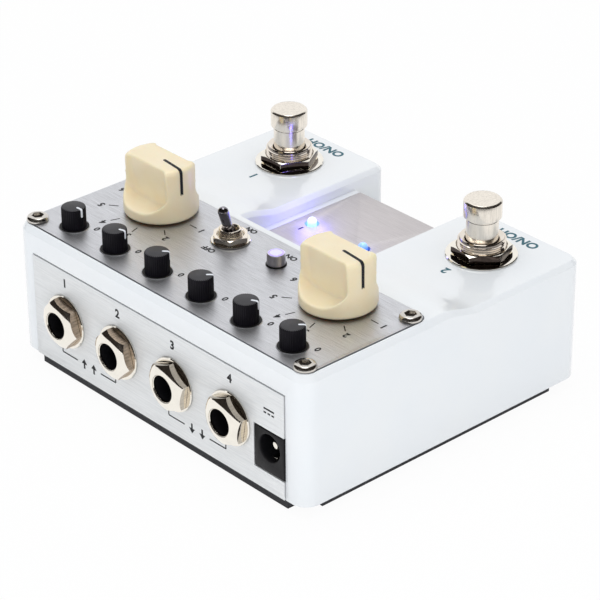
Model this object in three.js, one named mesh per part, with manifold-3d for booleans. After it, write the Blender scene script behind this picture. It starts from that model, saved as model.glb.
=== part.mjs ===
// A stereo delay pedal: a cast shell with a raised control deck and two footswitch pods.
// Millimetres, +Z up. The player stands at -Y, and the jacks are on the rear face at +Y.
// The origin is the centre of the mat's underside.
import * as THREE from "three";
import { mergeVertices } from "three/addons/utils/BufferGeometryUtils.js";
import Module from "manifold-3d";

const wasm = await Module();
wasm.setup();

// Driving dimensions of the shell.
const bodyWidth = 102;
const bodyDepth = 88;
const matThickness = 2.7;
const deckHeight = 33.4;
const podHeight = 31.2;
const wall = 2.8;
const cornerRadius = 4.2;
const rampSetback = 3.4;
const rampLength = 11.6;
const deckChamferIn = 1;
const deckChamferDown = 1.6;
const podChamfer = 1.1;
const notchWidth = 31;
const notchRadius = 3;
const lipSetback = 2.9;
const lipChamfer = 0.9;
const notchDepth = 10.6;
const floorHeight = 27.9;

// Clearance between pieces that touch on the real object, and the reach of cutting tools.
const fit = 0.3;
const reach = 12;

// Sheet metal: the control plate, the jack plate, the centre plate and the base plate.
const plateThickness = 1.1;
const plateProud = 0.2;
const deckWall = 2.2;
const controlPlateMargin = 1.6;
const controlPlateDepth = 37;
const controlPlateRadius = 2.8;
const jackPlateMargin = 6.5;
const jackPlateHeight = 26.7;
const centrePlateMargin = 2.3;
const centrePlateFrontSet = 0.5;
const centrePlateRearSet = 0.9;
const centrePlateThickness = 1;
const centrePlateProud = 0.4;
const podWall = 2.6;
const floorWall = 2;
const basePlateThickness = 1.2;
const baseLedge = 0.6;

// The mat under the shell, its corners cut back square.
const matSideInset = 2.4;
const matEndInset = 1.1;
const matRadius = 6;
const matCutWidth = 4.4;
const matCutLength = 6.3;

// Screws: button heads on the control plate, pan heads under the base.
const screwRadius = 1.5;
const screwHeadRadius = 2.7;
const screwHeadHeight = 1.3;
const screwSocketRadius = 1.3;
const screwSocketDepth = 1;
const screwRimShare = 0.22;
const screwRiseShare = 0.65;
const screwShoulderShare = 0.86;
const screwTopShare = 0.66;
const panelScrewSideSet = 3.9;
const panelScrewRearSet = 3.8;
const panelScrewFrontSet = 3.2;
const panelScrewLength = 8;
const panelBossRadius = 3;
const panelBossLength = 6.4;
const baseScrewSideSet = 4.2;
const baseScrewRearSet = 19.2;
const baseScrewFrontSet = 3.4;
const baseScrewLength = 8;
const baseScrewHeadHeight = 2;
const baseBossRadius = 2.8;
const baseBossLength = 11.5;
const baseRibWidth = 3;

// The row of six small ribbed knobs and their potentiometers.
const trimCount = 6;
const trimSideSet = 10.9;
const trimRearSet = 6.4;
const trimSkirtRadius = 3.55;
const trimRadius = 2.95;
const trimRibDepth = 0.14;
const trimRibs = 16;
const trimSkirtHeight = 0.7;
const trimSkirtRimShare = 0.4;
const trimHeight = 5;
const trimChamfer = 0.35;
const trimStandoff = 0.4;
const trimShaftRadius = 1.5;
const potWidth = 9.8;
const potDepth = 10;
const potOffset = 0.6;
const potBushingRadius = 3;
const potBoreDepth = 8;

// The two large selector knobs: a round foot and a fin left between two scooped pockets.
const selectorSideSet = 18.4;
const selectorFrontSet = 10.1;
const selectorRadius = 9.1;
const selectorTopRadius = 8.9;
const selectorHeight = 13.6;
const selectorEdge = 0.7;
const selectorStandoff = 0.5;
const pocketWall = 3;
const pocketPivot = 3.7;
const pocketLength = 10.8;
const pocketFlareOut = 2.5;
const pocketFlareUp = 1.2;
const pocketRadius = 4;
const pocketTiltDeg = 5.5;
const selectorShaftRadius = 3;
const selectorBushingRadius = 4.5;
const selectorBodySize = 16;
const selectorBoreDepth = 8.2;

// The toggle switch. Its lever leans to the rear, as photographed.
const toggleX = 8;
const toggleFrontSet = 8.2;
const toggleBodyX = 7;
const toggleBodyY = 10;
const toggleBushingRadius = 3;
const toggleBushingHeight = 3.3;
const toggleBoreRadius = 1.8;
const toggleBoreDepth = 3.8;
const toggleBallRadius = 1.5;
const toggleNeckRadius = 0.8;
const toggleTipRadius = 1.15;
const toggleLength = 8.6;
const togglePivotHeight = 1;
const toggleLeanDeg = 16;
const toggleWasherRadius = 4.8;
const toggleWasherThickness = 0.3;
const toggleNutRadius = 4.6;
const toggleNutHeight = 1.6;

// The push button and the switch under it.
const buttonRadius = 2.2;
const buttonHeight = 3;
const buttonChamfer = 0.4;
const buttonFlange = 0.5;
const buttonFlangeHeight = 1.6;
const buttonStemRadius = 1.2;
const buttonStemLength = 3;
const buttonBodySize = 7;
const buttonBodyHeight = 3;
const buttonBoreDepth = 2.4;

// The two footswitches.
const stompOutset = 0.2;
const stompFrontSet = 16.2;
const stompCapRadius = 4.55;
const stompCapHeight = 4.5;
const stompCapEdge = 0.4;
const stompRise = 10;
const stompNeckRadius = 3.85;
const stompFlangeRadius = 5;
const stompFlangeHeight = 1.6;
const stompBushingRadius = 5.65;
const stompBushingRise = 4.9;
const stompBushingChamfer = 0.8;
const stompBodySize = 16;
const stompBodyHeight = 13.9;
const stompFloor = 2;
const stompRoof = 2;
const stompWasherRadius = 8.8;
const stompWasherThickness = 0.3;
const stompNutRadius = 7.3;
const stompNutHeight = 2.6;

// The four quarter-inch jacks.
const jackCount = 4;
const jackEndSet = 12;
const jackInletSet = 8.2;
const jackAxisHeight = 13.4;
const jackBore = 6.4;
const jackBoreDepth = 26;
const jackNoseRadius = 4.7;
const jackNoseRise = 3.6;
const jackNoseChamfer = 0.4;
const jackBodyWidth = 15.8;
const jackBodyTop = 8;
const jackBodyBottom = 8.5;
const jackBodyDepth = 23.7;
const jackWasherRadius = 7.5;
const jackWasherThickness = 0.6;
const jackNutRadius = 7;
const jackNutHeight = 2;
const jackNutTopShare = 0.76;
const jackNutDropShare = 0.62;
const nutEdgeShare = 0.93;
const nutEdgeHeightShare = 0.33;

// The power inlet beside the jacks.
const inletWidth = 9.7;
const inletHeight = 10.7;
const inletBottom = 4.9;
const inletDepth = 13.6;
const inletHoleRadius = 3.3;
const inletHoleX = 4.85;
const inletHoleZ = 6.4;
const inletHoleDepth = 9.5;
const inletPinRadius = 1.05;
const inletPinSet = 1.5;

// The two lamps on the centre plate.
const ledSideSet = 4.3;
const ledRearSet = 14.6;
const ledRadius = 1.5;
const ledRise = 1.5;
const ledFlange = 0.7;
const ledFlangeHeight = 1;

// The circuit board under the deck.
const boardThickness = 1.6;
const controlBodyHeight = 6.1;

// Counts for round forms.
const fineSegments = 26;
const roundSegments = 18;
const smallSegments = 12;
const hexSides = 6;
const arcSegments = 3;
const rampSegments = 6;

// Levels and planes that follow from the dimensions above.
const shellBase = matThickness + fit;
const deckTop = shellBase + deckHeight;
const podTop = shellBase + podHeight;
const floorTop = shellBase + floorHeight;
const rear = bodyDepth / 2;
const front = -bodyDepth / 2;
const side = bodyWidth / 2;
const pocketDepth = fit + plateThickness - plateProud;
const seat = deckTop + plateProud;
const deckInside = deckTop - pocketDepth - deckWall;
const floorPocketDepth = fit + centrePlateThickness - centrePlateProud;
const floorInside = floorTop - floorPocketDepth - floorWall;
const podInside = podTop - podWall;
const sideInside = side - wall;
const rearInside = rear - wall;
const frontInside = front + wall;
const panelFace = rear + plateProud;
const controlPlateHalf = side - controlPlateMargin;
const controlPlateRear = rear - controlPlateMargin;
const controlPlateFront = controlPlateRear - controlPlateDepth;
const jackPlateHalf = side - jackPlateMargin;
const rampRear = controlPlateFront - rampSetback;
const rampFront = rampRear - rampLength;
const lipFront = controlPlateFront - lipSetback;
const floorFront = front + notchDepth;
const centrePlateHalf = notchWidth / 2 - centrePlateMargin;
const centrePlateFront = floorFront + centrePlateFrontSet;
const centrePlateRear = lipFront - centrePlateRearSet;
const jackZ = shellBase + jackAxisHeight;
const controlBodyTop = deckInside - fit;
const controlBodyFloor = controlBodyTop - controlBodyHeight;
const boardTop = controlBodyFloor - fit;

// Places of the controls, each measured from the edge that it is drawn from.
const panelScrewX = side - panelScrewSideSet;
const panelScrewRear = rear - panelScrewRearSet;
const panelScrewFront = controlPlateFront + panelScrewFrontSet;
const baseScrewX = sideInside - baseScrewSideSet;
const baseScrewRear = rearInside - baseScrewRearSet;
const baseScrewFront = frontInside + baseScrewFrontSet;
const trimEnd = controlPlateHalf - trimSideSet;
const trimPitch = (trimEnd + trimEnd) / (trimCount - 1);
const trimY = controlPlateRear - trimRearSet;
const selectorX = controlPlateHalf - selectorSideSet;
const selectorY = controlPlateFront + selectorFrontSet;
const toggleY = controlPlateFront + toggleFrontSet;
const buttonX = -toggleX;
const buttonY = toggleY;
const stompX = (notchWidth / 2 + side) / 2 + stompOutset;
const stompY = front + stompFrontSet;
const ledX = centrePlateHalf - ledSideSet;
const ledY = centrePlateRear - ledRearSet;
const jackFirstX = jackPlateHalf - jackEndSet;
const jackLastX = inletWidth + jackInletSet - jackPlateHalf;
const jackPitch = (jackFirstX - jackLastX) / (jackCount - 1);

// Materials, by what each piece is made of.
function paint(color, roughness, metalness) {
  return { color, roughness, metalness };
}
const pearl = paint(0xeef1f4, 0.28, 0);
const brushed = paint(0xb9b9bb, 0.38, 1);
const brushedBlue = paint(0xb4bbc0, 0.38, 1);
const nickel = paint(0xd9cdbb, 0.16, 1);
const steel = paint(0xb6aea2, 0.3, 1);
const blackPlastic = paint(0x17171c, 0.5, 0);
const creamPlastic = paint(0xe9dfbf, 0.32, 0);
const silverPlastic = paint(0xb4b2c2, 0.3, 0.4);
const rubber = paint(0x26262a, 0.85, 0);
const darkSteel = paint(0x2c2c30, 0.6, 0.6);
const ledPlastic = paint(0xcfdcff, 0.1, 0);
const boardGreen = paint(0x1f5b35, 0.6, 0);

// Turns a geometry into a closed solid for the boolean operations.
function solid(geometry) {
  const bare = geometry.clone();
  bare.deleteAttribute("normal");
  bare.deleteAttribute("uv");
  const merged = mergeVertices(bare);
  const index = merged.index.array;
  const triangles = [];
  for (let i = 0; i < index.length; i += 3) {
    const [a, b, c] = index.slice(i, i + 3);
    if (a !== b && b !== c && c !== a) triangles.push(a, b, c);
  }
  return new wasm.Manifold(new wasm.Mesh({
    numProp: 3,
    vertProperties: new Float32Array(merged.attributes.position.array),
    triVerts: new Uint32Array(triangles),
  }));
}

function geometryOf(body) {
  const mesh = body.getMesh();
  const geometry = new THREE.BufferGeometry();
  geometry.setAttribute("position", new THREE.BufferAttribute(new Float32Array(mesh.vertProperties), 3));
  geometry.setIndex(new THREE.BufferAttribute(new Uint32Array(mesh.triVerts), 1));
  geometry.computeVertexNormals();
  return geometry;
}

function join(first, ...others) {
  return others.reduce((sum, piece) => sum.add(piece), first);
}

function cut(first, ...others) {
  return others.reduce((rest, piece) => rest.subtract(piece), first);
}

// A box from its lowest to its highest corner.
function block(x0, x1, y0, y1, z0, z1) {
  const geometry = new THREE.BoxGeometry(x1 - x0, y1 - y0, z1 - z0);
  return solid(geometry.translate((x0 + x1) / 2, (y0 + y1) / 2, (z0 + z1) / 2));
}

// Points up a quarter circle that ends on the axis at the given height.
function dome(radius, top) {
  const points = [];
  for (let i = 0; i < arcSegments; i += 1) {
    const angle = (i / arcSegments) * (Math.PI / 2);
    points.push([radius * Math.cos(angle), top - radius + radius * Math.sin(angle)]);
  }
  points.push([0, top]);
  return points;
}

// A flat outline drawn in XY and pushed up from one level to another.
function prismUp(shape, z0, z1) {
  const geometry = new THREE.ExtrudeGeometry(shape, {
    depth: z1 - z0, bevelEnabled: false, curveSegments: arcSegments,
  });
  return solid(geometry.translate(0, 0, z0));
}

// The same outline with a chamfer round its top edge.
function chamferedPrism(shape, z0, z1, inward, down) {
  const geometry = new THREE.ExtrudeGeometry(shape, {
    depth: z1 - z0 - down - down,
    bevelEnabled: true,
    bevelThickness: down,
    bevelSize: inward,
    bevelOffset: -inward,
    bevelSegments: 1,
    curveSegments: arcSegments,
  });
  return solid(geometry.translate(0, 0, z0 + down));
}

// A side view drawn as (y, z) and pushed along X, with chamfered ends when asked for.
function prismAcross(shape, x0, x1, chamfer = 0) {
  const geometry = new THREE.ExtrudeGeometry(shape, {
    depth: x1 - x0 - chamfer - chamfer,
    bevelEnabled: chamfer > 0,
    bevelThickness: chamfer,
    bevelSize: chamfer,
    bevelOffset: -chamfer,
    bevelSegments: 1,
  });
  geometry.translate(0, 0, x0 + chamfer);
  const turn = new THREE.Matrix4().makeBasis(
    new THREE.Vector3(0, 1, 0), new THREE.Vector3(0, 0, 1), new THREE.Vector3(1, 0, 0));
  return solid(geometry.applyMatrix4(turn));
}

// A form turned round the Z axis from points (radius, height), listed upwards along its outside.
function turned(points, segments = roundSegments) {
  const profile = points.map(([radius, height]) => new THREE.Vector2(radius, height));
  return solid(new THREE.LatheGeometry(profile, segments).rotateX(Math.PI / 2));
}

function rod(radius, z0, z1, segments = roundSegments) {
  return turned([[0, z0], [radius, z0], [radius, z1], [0, z1]], segments);
}

function rodAt(radius, x, y, z0, z1, segments = roundSegments) {
  return rod(radius, z0, z1, segments).translate([x, y, 0]);
}

function polygon(points) {
  return new THREE.Shape(points.map(([u, v]) => new THREE.Vector2(u, v)));
}

function roundedRect(x0, x1, y0, y1, radius) {
  const shape = new THREE.Shape();
  shape.absarc(x1 - radius, y0 + radius, radius, -Math.PI / 2, 0);
  shape.absarc(x1 - radius, y1 - radius, radius, 0, Math.PI / 2);
  shape.absarc(x0 + radius, y1 - radius, radius, Math.PI / 2, Math.PI);
  shape.absarc(x0 + radius, y0 + radius, radius, Math.PI, Math.PI * 1.5);
  return shape;
}

// A flat piece with rounded corners and a notch between the two pods at its front.
function notchedPlate(halfWidth, y0, y1, radius, halfNotch, notchY, z0, z1) {
  const plate = prismUp(roundedRect(-halfWidth, halfWidth, y0, y1, radius), z0, z1);
  return plate.subtract(block(-halfNotch, halfNotch, y0 - reach, notchY, z0 - fit, z1 + fit));
}

// A hexagon nut with its top corners turned down, open in the middle. The shares say how wide its
// flat top is left and how far down its height the corners are turned.
function hexNut(radius, bore, z0, z1, topShare = nutEdgeShare, dropShare = nutEdgeHeightShare) {
  const blank = rod(radius, z0, z1, hexSides);
  const drop = (z1 - z0) * dropShare;
  const turnedTop = turned([
    [0, z0], [radius, z0], [radius, z1 - drop], [radius * topShare, z1], [0, z1],
  ], smallSegments);
  return blank.intersect(turnedTop).subtract(rod(bore, z0 - fit, z1 + fit));
}

function washer(radius, bore, z0, z1) {
  return rod(radius, z0, z1).subtract(rod(bore, z0 - fit, z1 + fit));
}

// Lays a piece built upwards along +Z down, so that it points to +Y.
function toRear(piece) {
  return piece.rotate([-90, 0, 0]);
}

const group = new THREE.Group();
group.name = "delay_pedal";

function add(name, body, look, parent = group) {
  const mesh = new THREE.Mesh(geometryOf(body), new THREE.MeshStandardMaterial(look));
  mesh.name = name;
  parent.add(mesh);
  return mesh;
}

function place(mesh, x, y, z) {
  mesh.position.set(x, y, z);
  return mesh;
}

function trimX(i) {
  return trimEnd - i * trimPitch;
}

function jackX(i) {
  return jackFirstX - i * jackPitch;
}

const mirrored = [1, -1];
const panelScrews = mirrored.flatMap((s) => [
  [s * panelScrewX, panelScrewRear],
  [s * panelScrewX, panelScrewFront],
]);
const baseScrews = mirrored.flatMap((s) => [
  [s * baseScrewX, baseScrewRear],
  [s * baseScrewX, baseScrewFront],
]);

// The top line of the shell seen from the side: deck, S-shaped ramp, pods.
function topLine() {
  const points = [];
  for (let i = 0; i <= rampSegments; i += 1) {
    const t = i / rampSegments;
    const ease = t * t * (3 - 2 * t);
    points.push([rampRear + (rampFront - rampRear) * t, deckTop + (podTop - deckTop) * ease]);
  }
  return points;
}

// The cast shell. Each pod is a side view pushed across with chamfered ends, so that the
// chamfer follows the ramp. The middle part carries the lip and the recessed floor.
function housing() {
  const half = notchWidth / 2;
  const low = -reach;
  const sideView = polygon([
    [front - reach, low], [rear + reach, low], [rear + reach, deckTop],
    ...topLine(), [front - reach, podTop],
  ]);
  const pods = join(
    prismAcross(sideView, half, side, podChamfer),
    prismAcross(sideView, -side, -half, podChamfer));
  const middleView = polygon([
    [rear + reach, low], [rear + reach, deckTop], [lipFront + lipChamfer, deckTop],
    [lipFront, deckTop - lipChamfer], [lipFront, floorTop], [floorFront, floorTop], [floorFront, low],
  ].reverse());
  const middle = prismAcross(middleView, -half - podChamfer - fit, half + podChamfer + fit);

  const deckForm = chamferedPrism(
    roundedRect(-side, side, front, rear, cornerRadius), low, deckTop, deckChamferIn, deckChamferDown);
  const podForms = mirrored.map((s) => {
    const [inner, outer] = s > 0 ? [half, side] : [-side, -half];
    const outline = roundedRect(inner, outer, front, rampFront + reach, notchRadius);
    return chamferedPrism(outline, low, podTop, podChamfer, podChamfer);
  });
  const kept = join(
    block(-side, side, rampFront - reach / 2, rear, low, deckTop),
    block(-half - fit, half + fit, floorFront, 0, low, floorTop),
    ...podForms);
  const outside = join(pods, middle).intersect(deckForm).intersect(kept);
  const below = block(-side - reach, side + reach, front - reach, rear + reach, low - reach, shellBase);
  const standing = outside.subtract(below);

  const meet = lipFront + wall + wall;
  const inside = join(
    block(-sideInside, sideInside, lipFront + wall, rearInside, low, deckInside),
    block(half + wall, sideInside, frontInside, meet, low, podInside),
    block(-sideInside, -half - wall, frontInside, meet, low, podInside),
    block(-half - wall - wall, half + wall + wall, floorFront + wall, meet, low, floorInside));
  const shell = join(standing.subtract(inside), ...panelBosses(), ...baseBosses());
  return cut(shell, ...housingCuts());
}

// Bosses for the panel screws hang from the deck.
function panelBosses() {
  const z0 = deckInside - panelBossLength;
  return panelScrews.map(([x, y]) => (
    rodAt(panelBossRadius, x, y, z0, deckInside + fit, smallSegments)));
}

// Bosses for the base screws stand against the side walls, each on a rib.
function baseBosses() {
  const z0 = shellBase + basePlateThickness + fit;
  const z1 = z0 + baseBossLength;
  return baseScrews.flatMap(([x, y]) => {
    const [x0, x1] = x > 0 ? [x, sideInside + fit] : [-sideInside - fit, x];
    return [
      rodAt(baseBossRadius, x, y, z0, z1, smallSegments),
      block(x0, x1, y - baseRibWidth / 2, y + baseRibWidth / 2, z0, z1),
    ];
  });
}

// Everything machined out of the shell: seats for the plates, and holes for the hardware.
function housingCuts() {
  const cuts = [];
  const top = deckTop + reach;
  cuts.push(prismUp(controlPlateOutline(fit), deckTop - pocketDepth, top));
  cuts.push(block(-jackPlateHalf - fit, jackPlateHalf + fit, rear - pocketDepth, rear + reach,
    shellBase - reach, shellBase + jackPlateHeight + fit));
  cuts.push(block(-centrePlateHalf - fit, centrePlateHalf + fit, floorFront - reach,
    centrePlateRear + fit, floorTop - floorPocketDepth, floorTop + fit));
  cuts.push(notchedPlate(sideInside + baseLedge, frontInside - baseLedge, rearInside + baseLedge, baseLedge,
    notchWidth / 2 + wall - baseLedge, floorFront + wall - baseLedge,
    shellBase - reach, shellBase + basePlateThickness + fit));
  for (let i = 0; i < trimCount; i += 1) {
    cuts.push(rodAt(potBushingRadius + fit, trimX(i), trimY, deckInside - fit, top, smallSegments));
  }
  for (const s of mirrored) {
    cuts.push(rodAt(selectorBushingRadius + fit, s * selectorX, selectorY, deckInside - fit, top));
    cuts.push(rodAt(stompBushingRadius + fit, s * stompX, stompY, podInside - fit, top));
    cuts.push(rodAt(ledRadius + fit, s * ledX, ledY, floorInside - fit, top, smallSegments));
  }
  cuts.push(rodAt(toggleBushingRadius + fit, toggleX, toggleY, deckInside - fit, top, smallSegments));
  cuts.push(rodAt(buttonRadius + fit, buttonX, buttonY, deckInside - fit, top, smallSegments));
  for (const [x, y] of panelScrews) {
    cuts.push(rodAt(screwRadius + fit, x, y, deckTop - panelScrewLength - fit, top, smallSegments));
  }
  for (const [x, y] of baseScrews) {
    cuts.push(rodAt(screwRadius + fit, x, y, shellBase, shellBase + baseScrewLength, smallSegments));
  }
  for (let i = 0; i < jackCount; i += 1) {
    cuts.push(jackHole(i, rearInside - fit));
  }
  cuts.push(inletOpening(rearInside - fit));
  return cuts;
}

// The outline of the control plate, grown by the clearance for its seat in the deck.
function controlPlateOutline(grow) {
  const half = controlPlateHalf + grow;
  return roundedRect(-half, half, controlPlateFront - grow, controlPlateRear + grow,
    controlPlateRadius + grow);
}

function jackHole(i, y0) {
  const hole = toRear(rod(jackNoseRadius + fit, y0, rear + reach));
  return hole.translate([jackX(i), 0, jackZ]);
}

// The square window for the power inlet, which reaches the end of the jack plate.
function inletOpening(y0) {
  const x0 = -jackPlateHalf;
  return block(x0 - fit, x0 + inletWidth + fit, y0, rear + reach,
    shellBase + inletBottom - fit, shellBase + inletBottom + inletHeight + fit);
}

// Flat pieces.
function rubberMat() {
  const half = side - matSideInset;
  const y0 = front + matEndInset;
  const y1 = rear - matEndInset;
  const mat = notchedPlate(half, y0, y1, matRadius,
    notchWidth / 2 + matSideInset, floorFront + matSideInset, 0, matThickness);
  const sides = [[-side, matCutWidth - half], [half - matCutWidth, side]];
  const ends = [[front, y0 + matCutLength], [y1 - matCutLength, rear]];
  const corners = sides.flatMap(([left, right]) => ends.map(([low, high]) => (
    block(left, right, low, high, -fit, matThickness + fit))));
  return cut(mat, ...corners, ...baseScrews.map(([x, y]) => (
    rodAt(screwHeadRadius + fit, x, y, -fit, matThickness + fit, smallSegments))));
}

function basePlate() {
  const inset = baseLedge - fit;
  const plate = notchedPlate(sideInside + inset, frontInside - inset, rearInside + inset, baseLedge,
    notchWidth / 2 + wall - inset, floorFront + wall - inset, shellBase, shellBase + basePlateThickness);
  return cut(plate, ...baseScrews.map(([x, y]) => (
    rodAt(screwRadius + fit, x, y, shellBase - fit, shellBase + basePlateThickness + fit, smallSegments))));
}

function controlPlate() {
  const z0 = deckTop - pocketDepth + fit;
  const plate = prismUp(controlPlateOutline(0), z0, z0 + plateThickness);
  const holes = [
    ...panelScrews.map(([x, y]) => [x, y, screwRadius]),
    ...mirrored.map((s) => [s * selectorX, selectorY, selectorBushingRadius]),
    [toggleX, toggleY, toggleBushingRadius],
    [buttonX, buttonY, buttonRadius],
  ];
  for (let i = 0; i < trimCount; i += 1) holes.push([trimX(i), trimY, potBushingRadius]);
  return cut(plate, ...holes.map(([x, y, radius]) => (
    rodAt(radius + fit, x, y, z0 - fit, deckTop + reach, smallSegments))));
}

function jackPlate() {
  const y0 = rear - pocketDepth + fit;
  const plate = block(-jackPlateHalf, jackPlateHalf, y0, y0 + plateThickness,
    shellBase, shellBase + jackPlateHeight);
  const holes = [inletOpening(y0 - reach)];
  for (let i = 0; i < jackCount; i += 1) {
    holes.push(jackHole(i, y0 - fit));
  }
  return cut(plate, ...holes);
}

function centrePlate() {
  const z0 = floorTop - floorPocketDepth + fit;
  const plate = block(-centrePlateHalf, centrePlateHalf, centrePlateFront, centrePlateRear,
    z0, z0 + centrePlateThickness);
  return cut(plate, ...mirrored.map((s) => (
    rodAt(ledRadius + fit, s * ledX, ledY, z0 - fit, floorTop + reach, smallSegments))));
}

// The board lies between the jacks below and the control bodies above.
function circuitBoard() {
  return block(-sideInside + fit, sideInside - fit, lipFront + wall + fit, rearInside - fit,
    boardTop - boardThickness, boardTop);
}

// A button-head screw with a hexagon socket, its seat at the origin.
function panelScrew() {
  const height = screwHeadHeight;
  const radius = screwHeadRadius;
  const body = turned([
    [0, -panelScrewLength], [screwRadius, -panelScrewLength], [screwRadius, 0], [radius, 0],
    [radius, height * screwRimShare], [radius * screwShoulderShare, height * screwRiseShare],
    [radius * screwTopShare, height], [0, height],
  ], smallSegments);
  return body.subtract(rod(screwSocketRadius, height - screwSocketDepth, height + fit, hexSides));
}

function baseScrew() {
  const height = baseScrewHeadHeight;
  const body = turned([
    [0, -height], [screwHeadRadius - fit, -height], [screwHeadRadius, -height / 2], [screwHeadRadius, 0],
    [screwRadius, 0], [screwRadius, baseScrewLength], [0, baseScrewLength],
  ], smallSegments);
  return body.subtract(rod(screwSocketRadius, -height - fit, screwSocketDepth - height, hexSides));
}

// A small knob: ribbed grip, flared skirt and the shaft that it turns. Its seat is at the origin.
function trimKnob() {
  const skirtTop = trimStandoff + trimSkirtHeight;
  const top = trimStandoff + trimHeight;
  const ribs = [];
  for (let i = 0; i < trimRibs * 2; i += 1) {
    const angle = (i / trimRibs) * Math.PI;
    const radius = trimRadius - (i % 2) * trimRibDepth;
    ribs.push([radius * Math.cos(angle), radius * Math.sin(angle)]);
  }
  const grip = chamferedPrism(polygon(ribs), trimStandoff, top, trimChamfer, trimChamfer);
  const rimTop = trimStandoff + trimSkirtHeight * trimSkirtRimShare;
  const skirt = turned([
    [0, trimStandoff], [trimSkirtRadius, trimStandoff], [trimSkirtRadius, rimTop],
    [trimRadius, skirtTop], [0, skirtTop],
  ], trimRibs);
  const shaft = rod(trimShaftRadius, fit - potBoreDepth, skirtTop, smallSegments);
  return join(grip, skirt, shaft);
}

// The potentiometer under a small knob, its bushing flush with the plate. Seat at the origin.
function potentiometer() {
  const top = controlBodyTop - seat;
  const floor = controlBodyFloor - seat;
  const body = block(-potWidth / 2, potWidth / 2, -potDepth / 2 - potOffset, potDepth / 2 - potOffset,
    floor, top);
  const bushing = rod(potBushingRadius, floor + fit, 0, smallSegments);
  return join(body, bushing).subtract(rod(trimShaftRadius + fit, -potBoreDepth, fit, smallSegments));
}

// One scooped pocket of a selector knob, on its +Y side, leaning with the side of the fin.
function selectorPocket() {
  const half = pocketLength / 2;
  const out = half + pocketFlareOut;
  const wide = prismUp(polygon([
    [-half, 0], [half, 0], [out, pocketFlareUp],
    [out + reach, reach], [-out - reach, reach], [-out, pocketFlareUp],
  ]), -reach, selectorHeight + reach);
  const tall = new THREE.ExtrudeGeometry(
    roundedRect(-out, out, 0, selectorHeight + reach, pocketRadius), {
      depth: reach + reach, bevelEnabled: false, curveSegments: arcSegments,
    });
  const scoop = solid(tall.rotateX(Math.PI / 2).translate(0, reach + reach - fit, 0));
  return wide.intersect(scoop).rotate([-pocketTiltDeg, 0, 0]).translate([0, pocketWall, pocketPivot]);
}

function selectorKnob() {
  const z0 = selectorStandoff;
  const z1 = selectorStandoff + selectorHeight;
  const blank = turned([
    [0, z0], [selectorRadius, z0], [selectorTopRadius, z1 - selectorEdge],
    [selectorTopRadius - selectorEdge, z1], [0, z1],
  ], fineSegments);
  const pocket = selectorPocket();
  const shaft = rod(selectorShaftRadius, fit - selectorBoreDepth, z0 + fit);
  return cut(blank, pocket, pocket.rotate([0, 0, 180])).add(shaft);
}

function selectorSwitch() {
  const half = selectorBodySize / 2;
  const body = block(-half, half, -half, half, controlBodyFloor - seat, controlBodyTop - seat);
  const bushing = rod(selectorBushingRadius, controlBodyFloor - seat + fit, 0);
  return join(body, bushing).subtract(rod(selectorShaftRadius + fit, -selectorBoreDepth, fit));
}

// The lever of the toggle switch, its pivot at the origin and its tip upwards.
function toggleLever() {
  const ball = [[0, -toggleBallRadius]];
  const ballSteps = arcSegments * 2;
  const sweep = Math.acos(toggleNeckRadius / toggleBallRadius) + Math.PI / 2;
  for (let i = 1; i <= ballSteps; i += 1) {
    const angle = (i / ballSteps) * sweep - Math.PI / 2;
    ball.push([toggleBallRadius * Math.cos(angle), toggleBallRadius * Math.sin(angle)]);
  }
  return turned([...ball, ...dome(toggleTipRadius, toggleLength)], smallSegments);
}

function toggleBody() {
  const body = block(-toggleBodyX / 2, toggleBodyX / 2, -toggleBodyY / 2, toggleBodyY / 2,
    controlBodyFloor - seat, controlBodyTop - seat);
  const top = toggleBushingHeight;
  const bushing = turned([
    [0, controlBodyFloor - seat + fit], [toggleBushingRadius, controlBodyFloor - seat + fit],
    [toggleBushingRadius, top - fit], [toggleBushingRadius - fit, top], [0, top],
  ]);
  return join(body, bushing).subtract(rod(toggleBoreRadius, top - toggleBoreDepth, top + fit));
}

// The push button, its seat at the origin: cap, hidden flange and stem.
function pushButton() {
  const flangeTop = deckInside - fit - seat;
  const flangeFloor = flangeTop - buttonFlangeHeight;
  const flangeRadius = buttonRadius + buttonFlange;
  return turned([
    [0, flangeFloor - buttonStemLength], [buttonStemRadius, flangeFloor - buttonStemLength],
    [buttonStemRadius, flangeFloor], [flangeRadius, flangeFloor], [flangeRadius, flangeTop],
    [buttonRadius, flangeTop], [buttonRadius, buttonHeight - buttonChamfer],
    [buttonRadius - buttonChamfer, buttonHeight], [0, buttonHeight],
  ]);
}

function buttonSwitch() {
  const half = buttonBodySize / 2;
  const floor = controlBodyFloor - seat;
  const top = floor + buttonBodyHeight;
  const body = block(-half, half, -half, half, floor, top);
  return body.subtract(rod(buttonStemRadius + fit, top - buttonBoreDepth, top + fit, smallSegments));
}

// The footswitch: a plunger in a threaded bushing. The top of the pod is at the origin.
function stompPlunger() {
  const flangeTop = podInside - fit - stompRoof - fit - podTop;
  const flangeFloor = flangeTop - stompFlangeHeight;
  const top = stompRise + stompCapHeight;
  return turned([
    [0, flangeFloor], [stompFlangeRadius, flangeFloor], [stompFlangeRadius, flangeTop],
    [stompNeckRadius, flangeTop], [stompNeckRadius, stompRise], [stompCapRadius, stompRise],
    [stompCapRadius, top - stompCapEdge], [stompCapRadius - stompCapEdge, top], [0, top],
  ], fineSegments);
}

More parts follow.
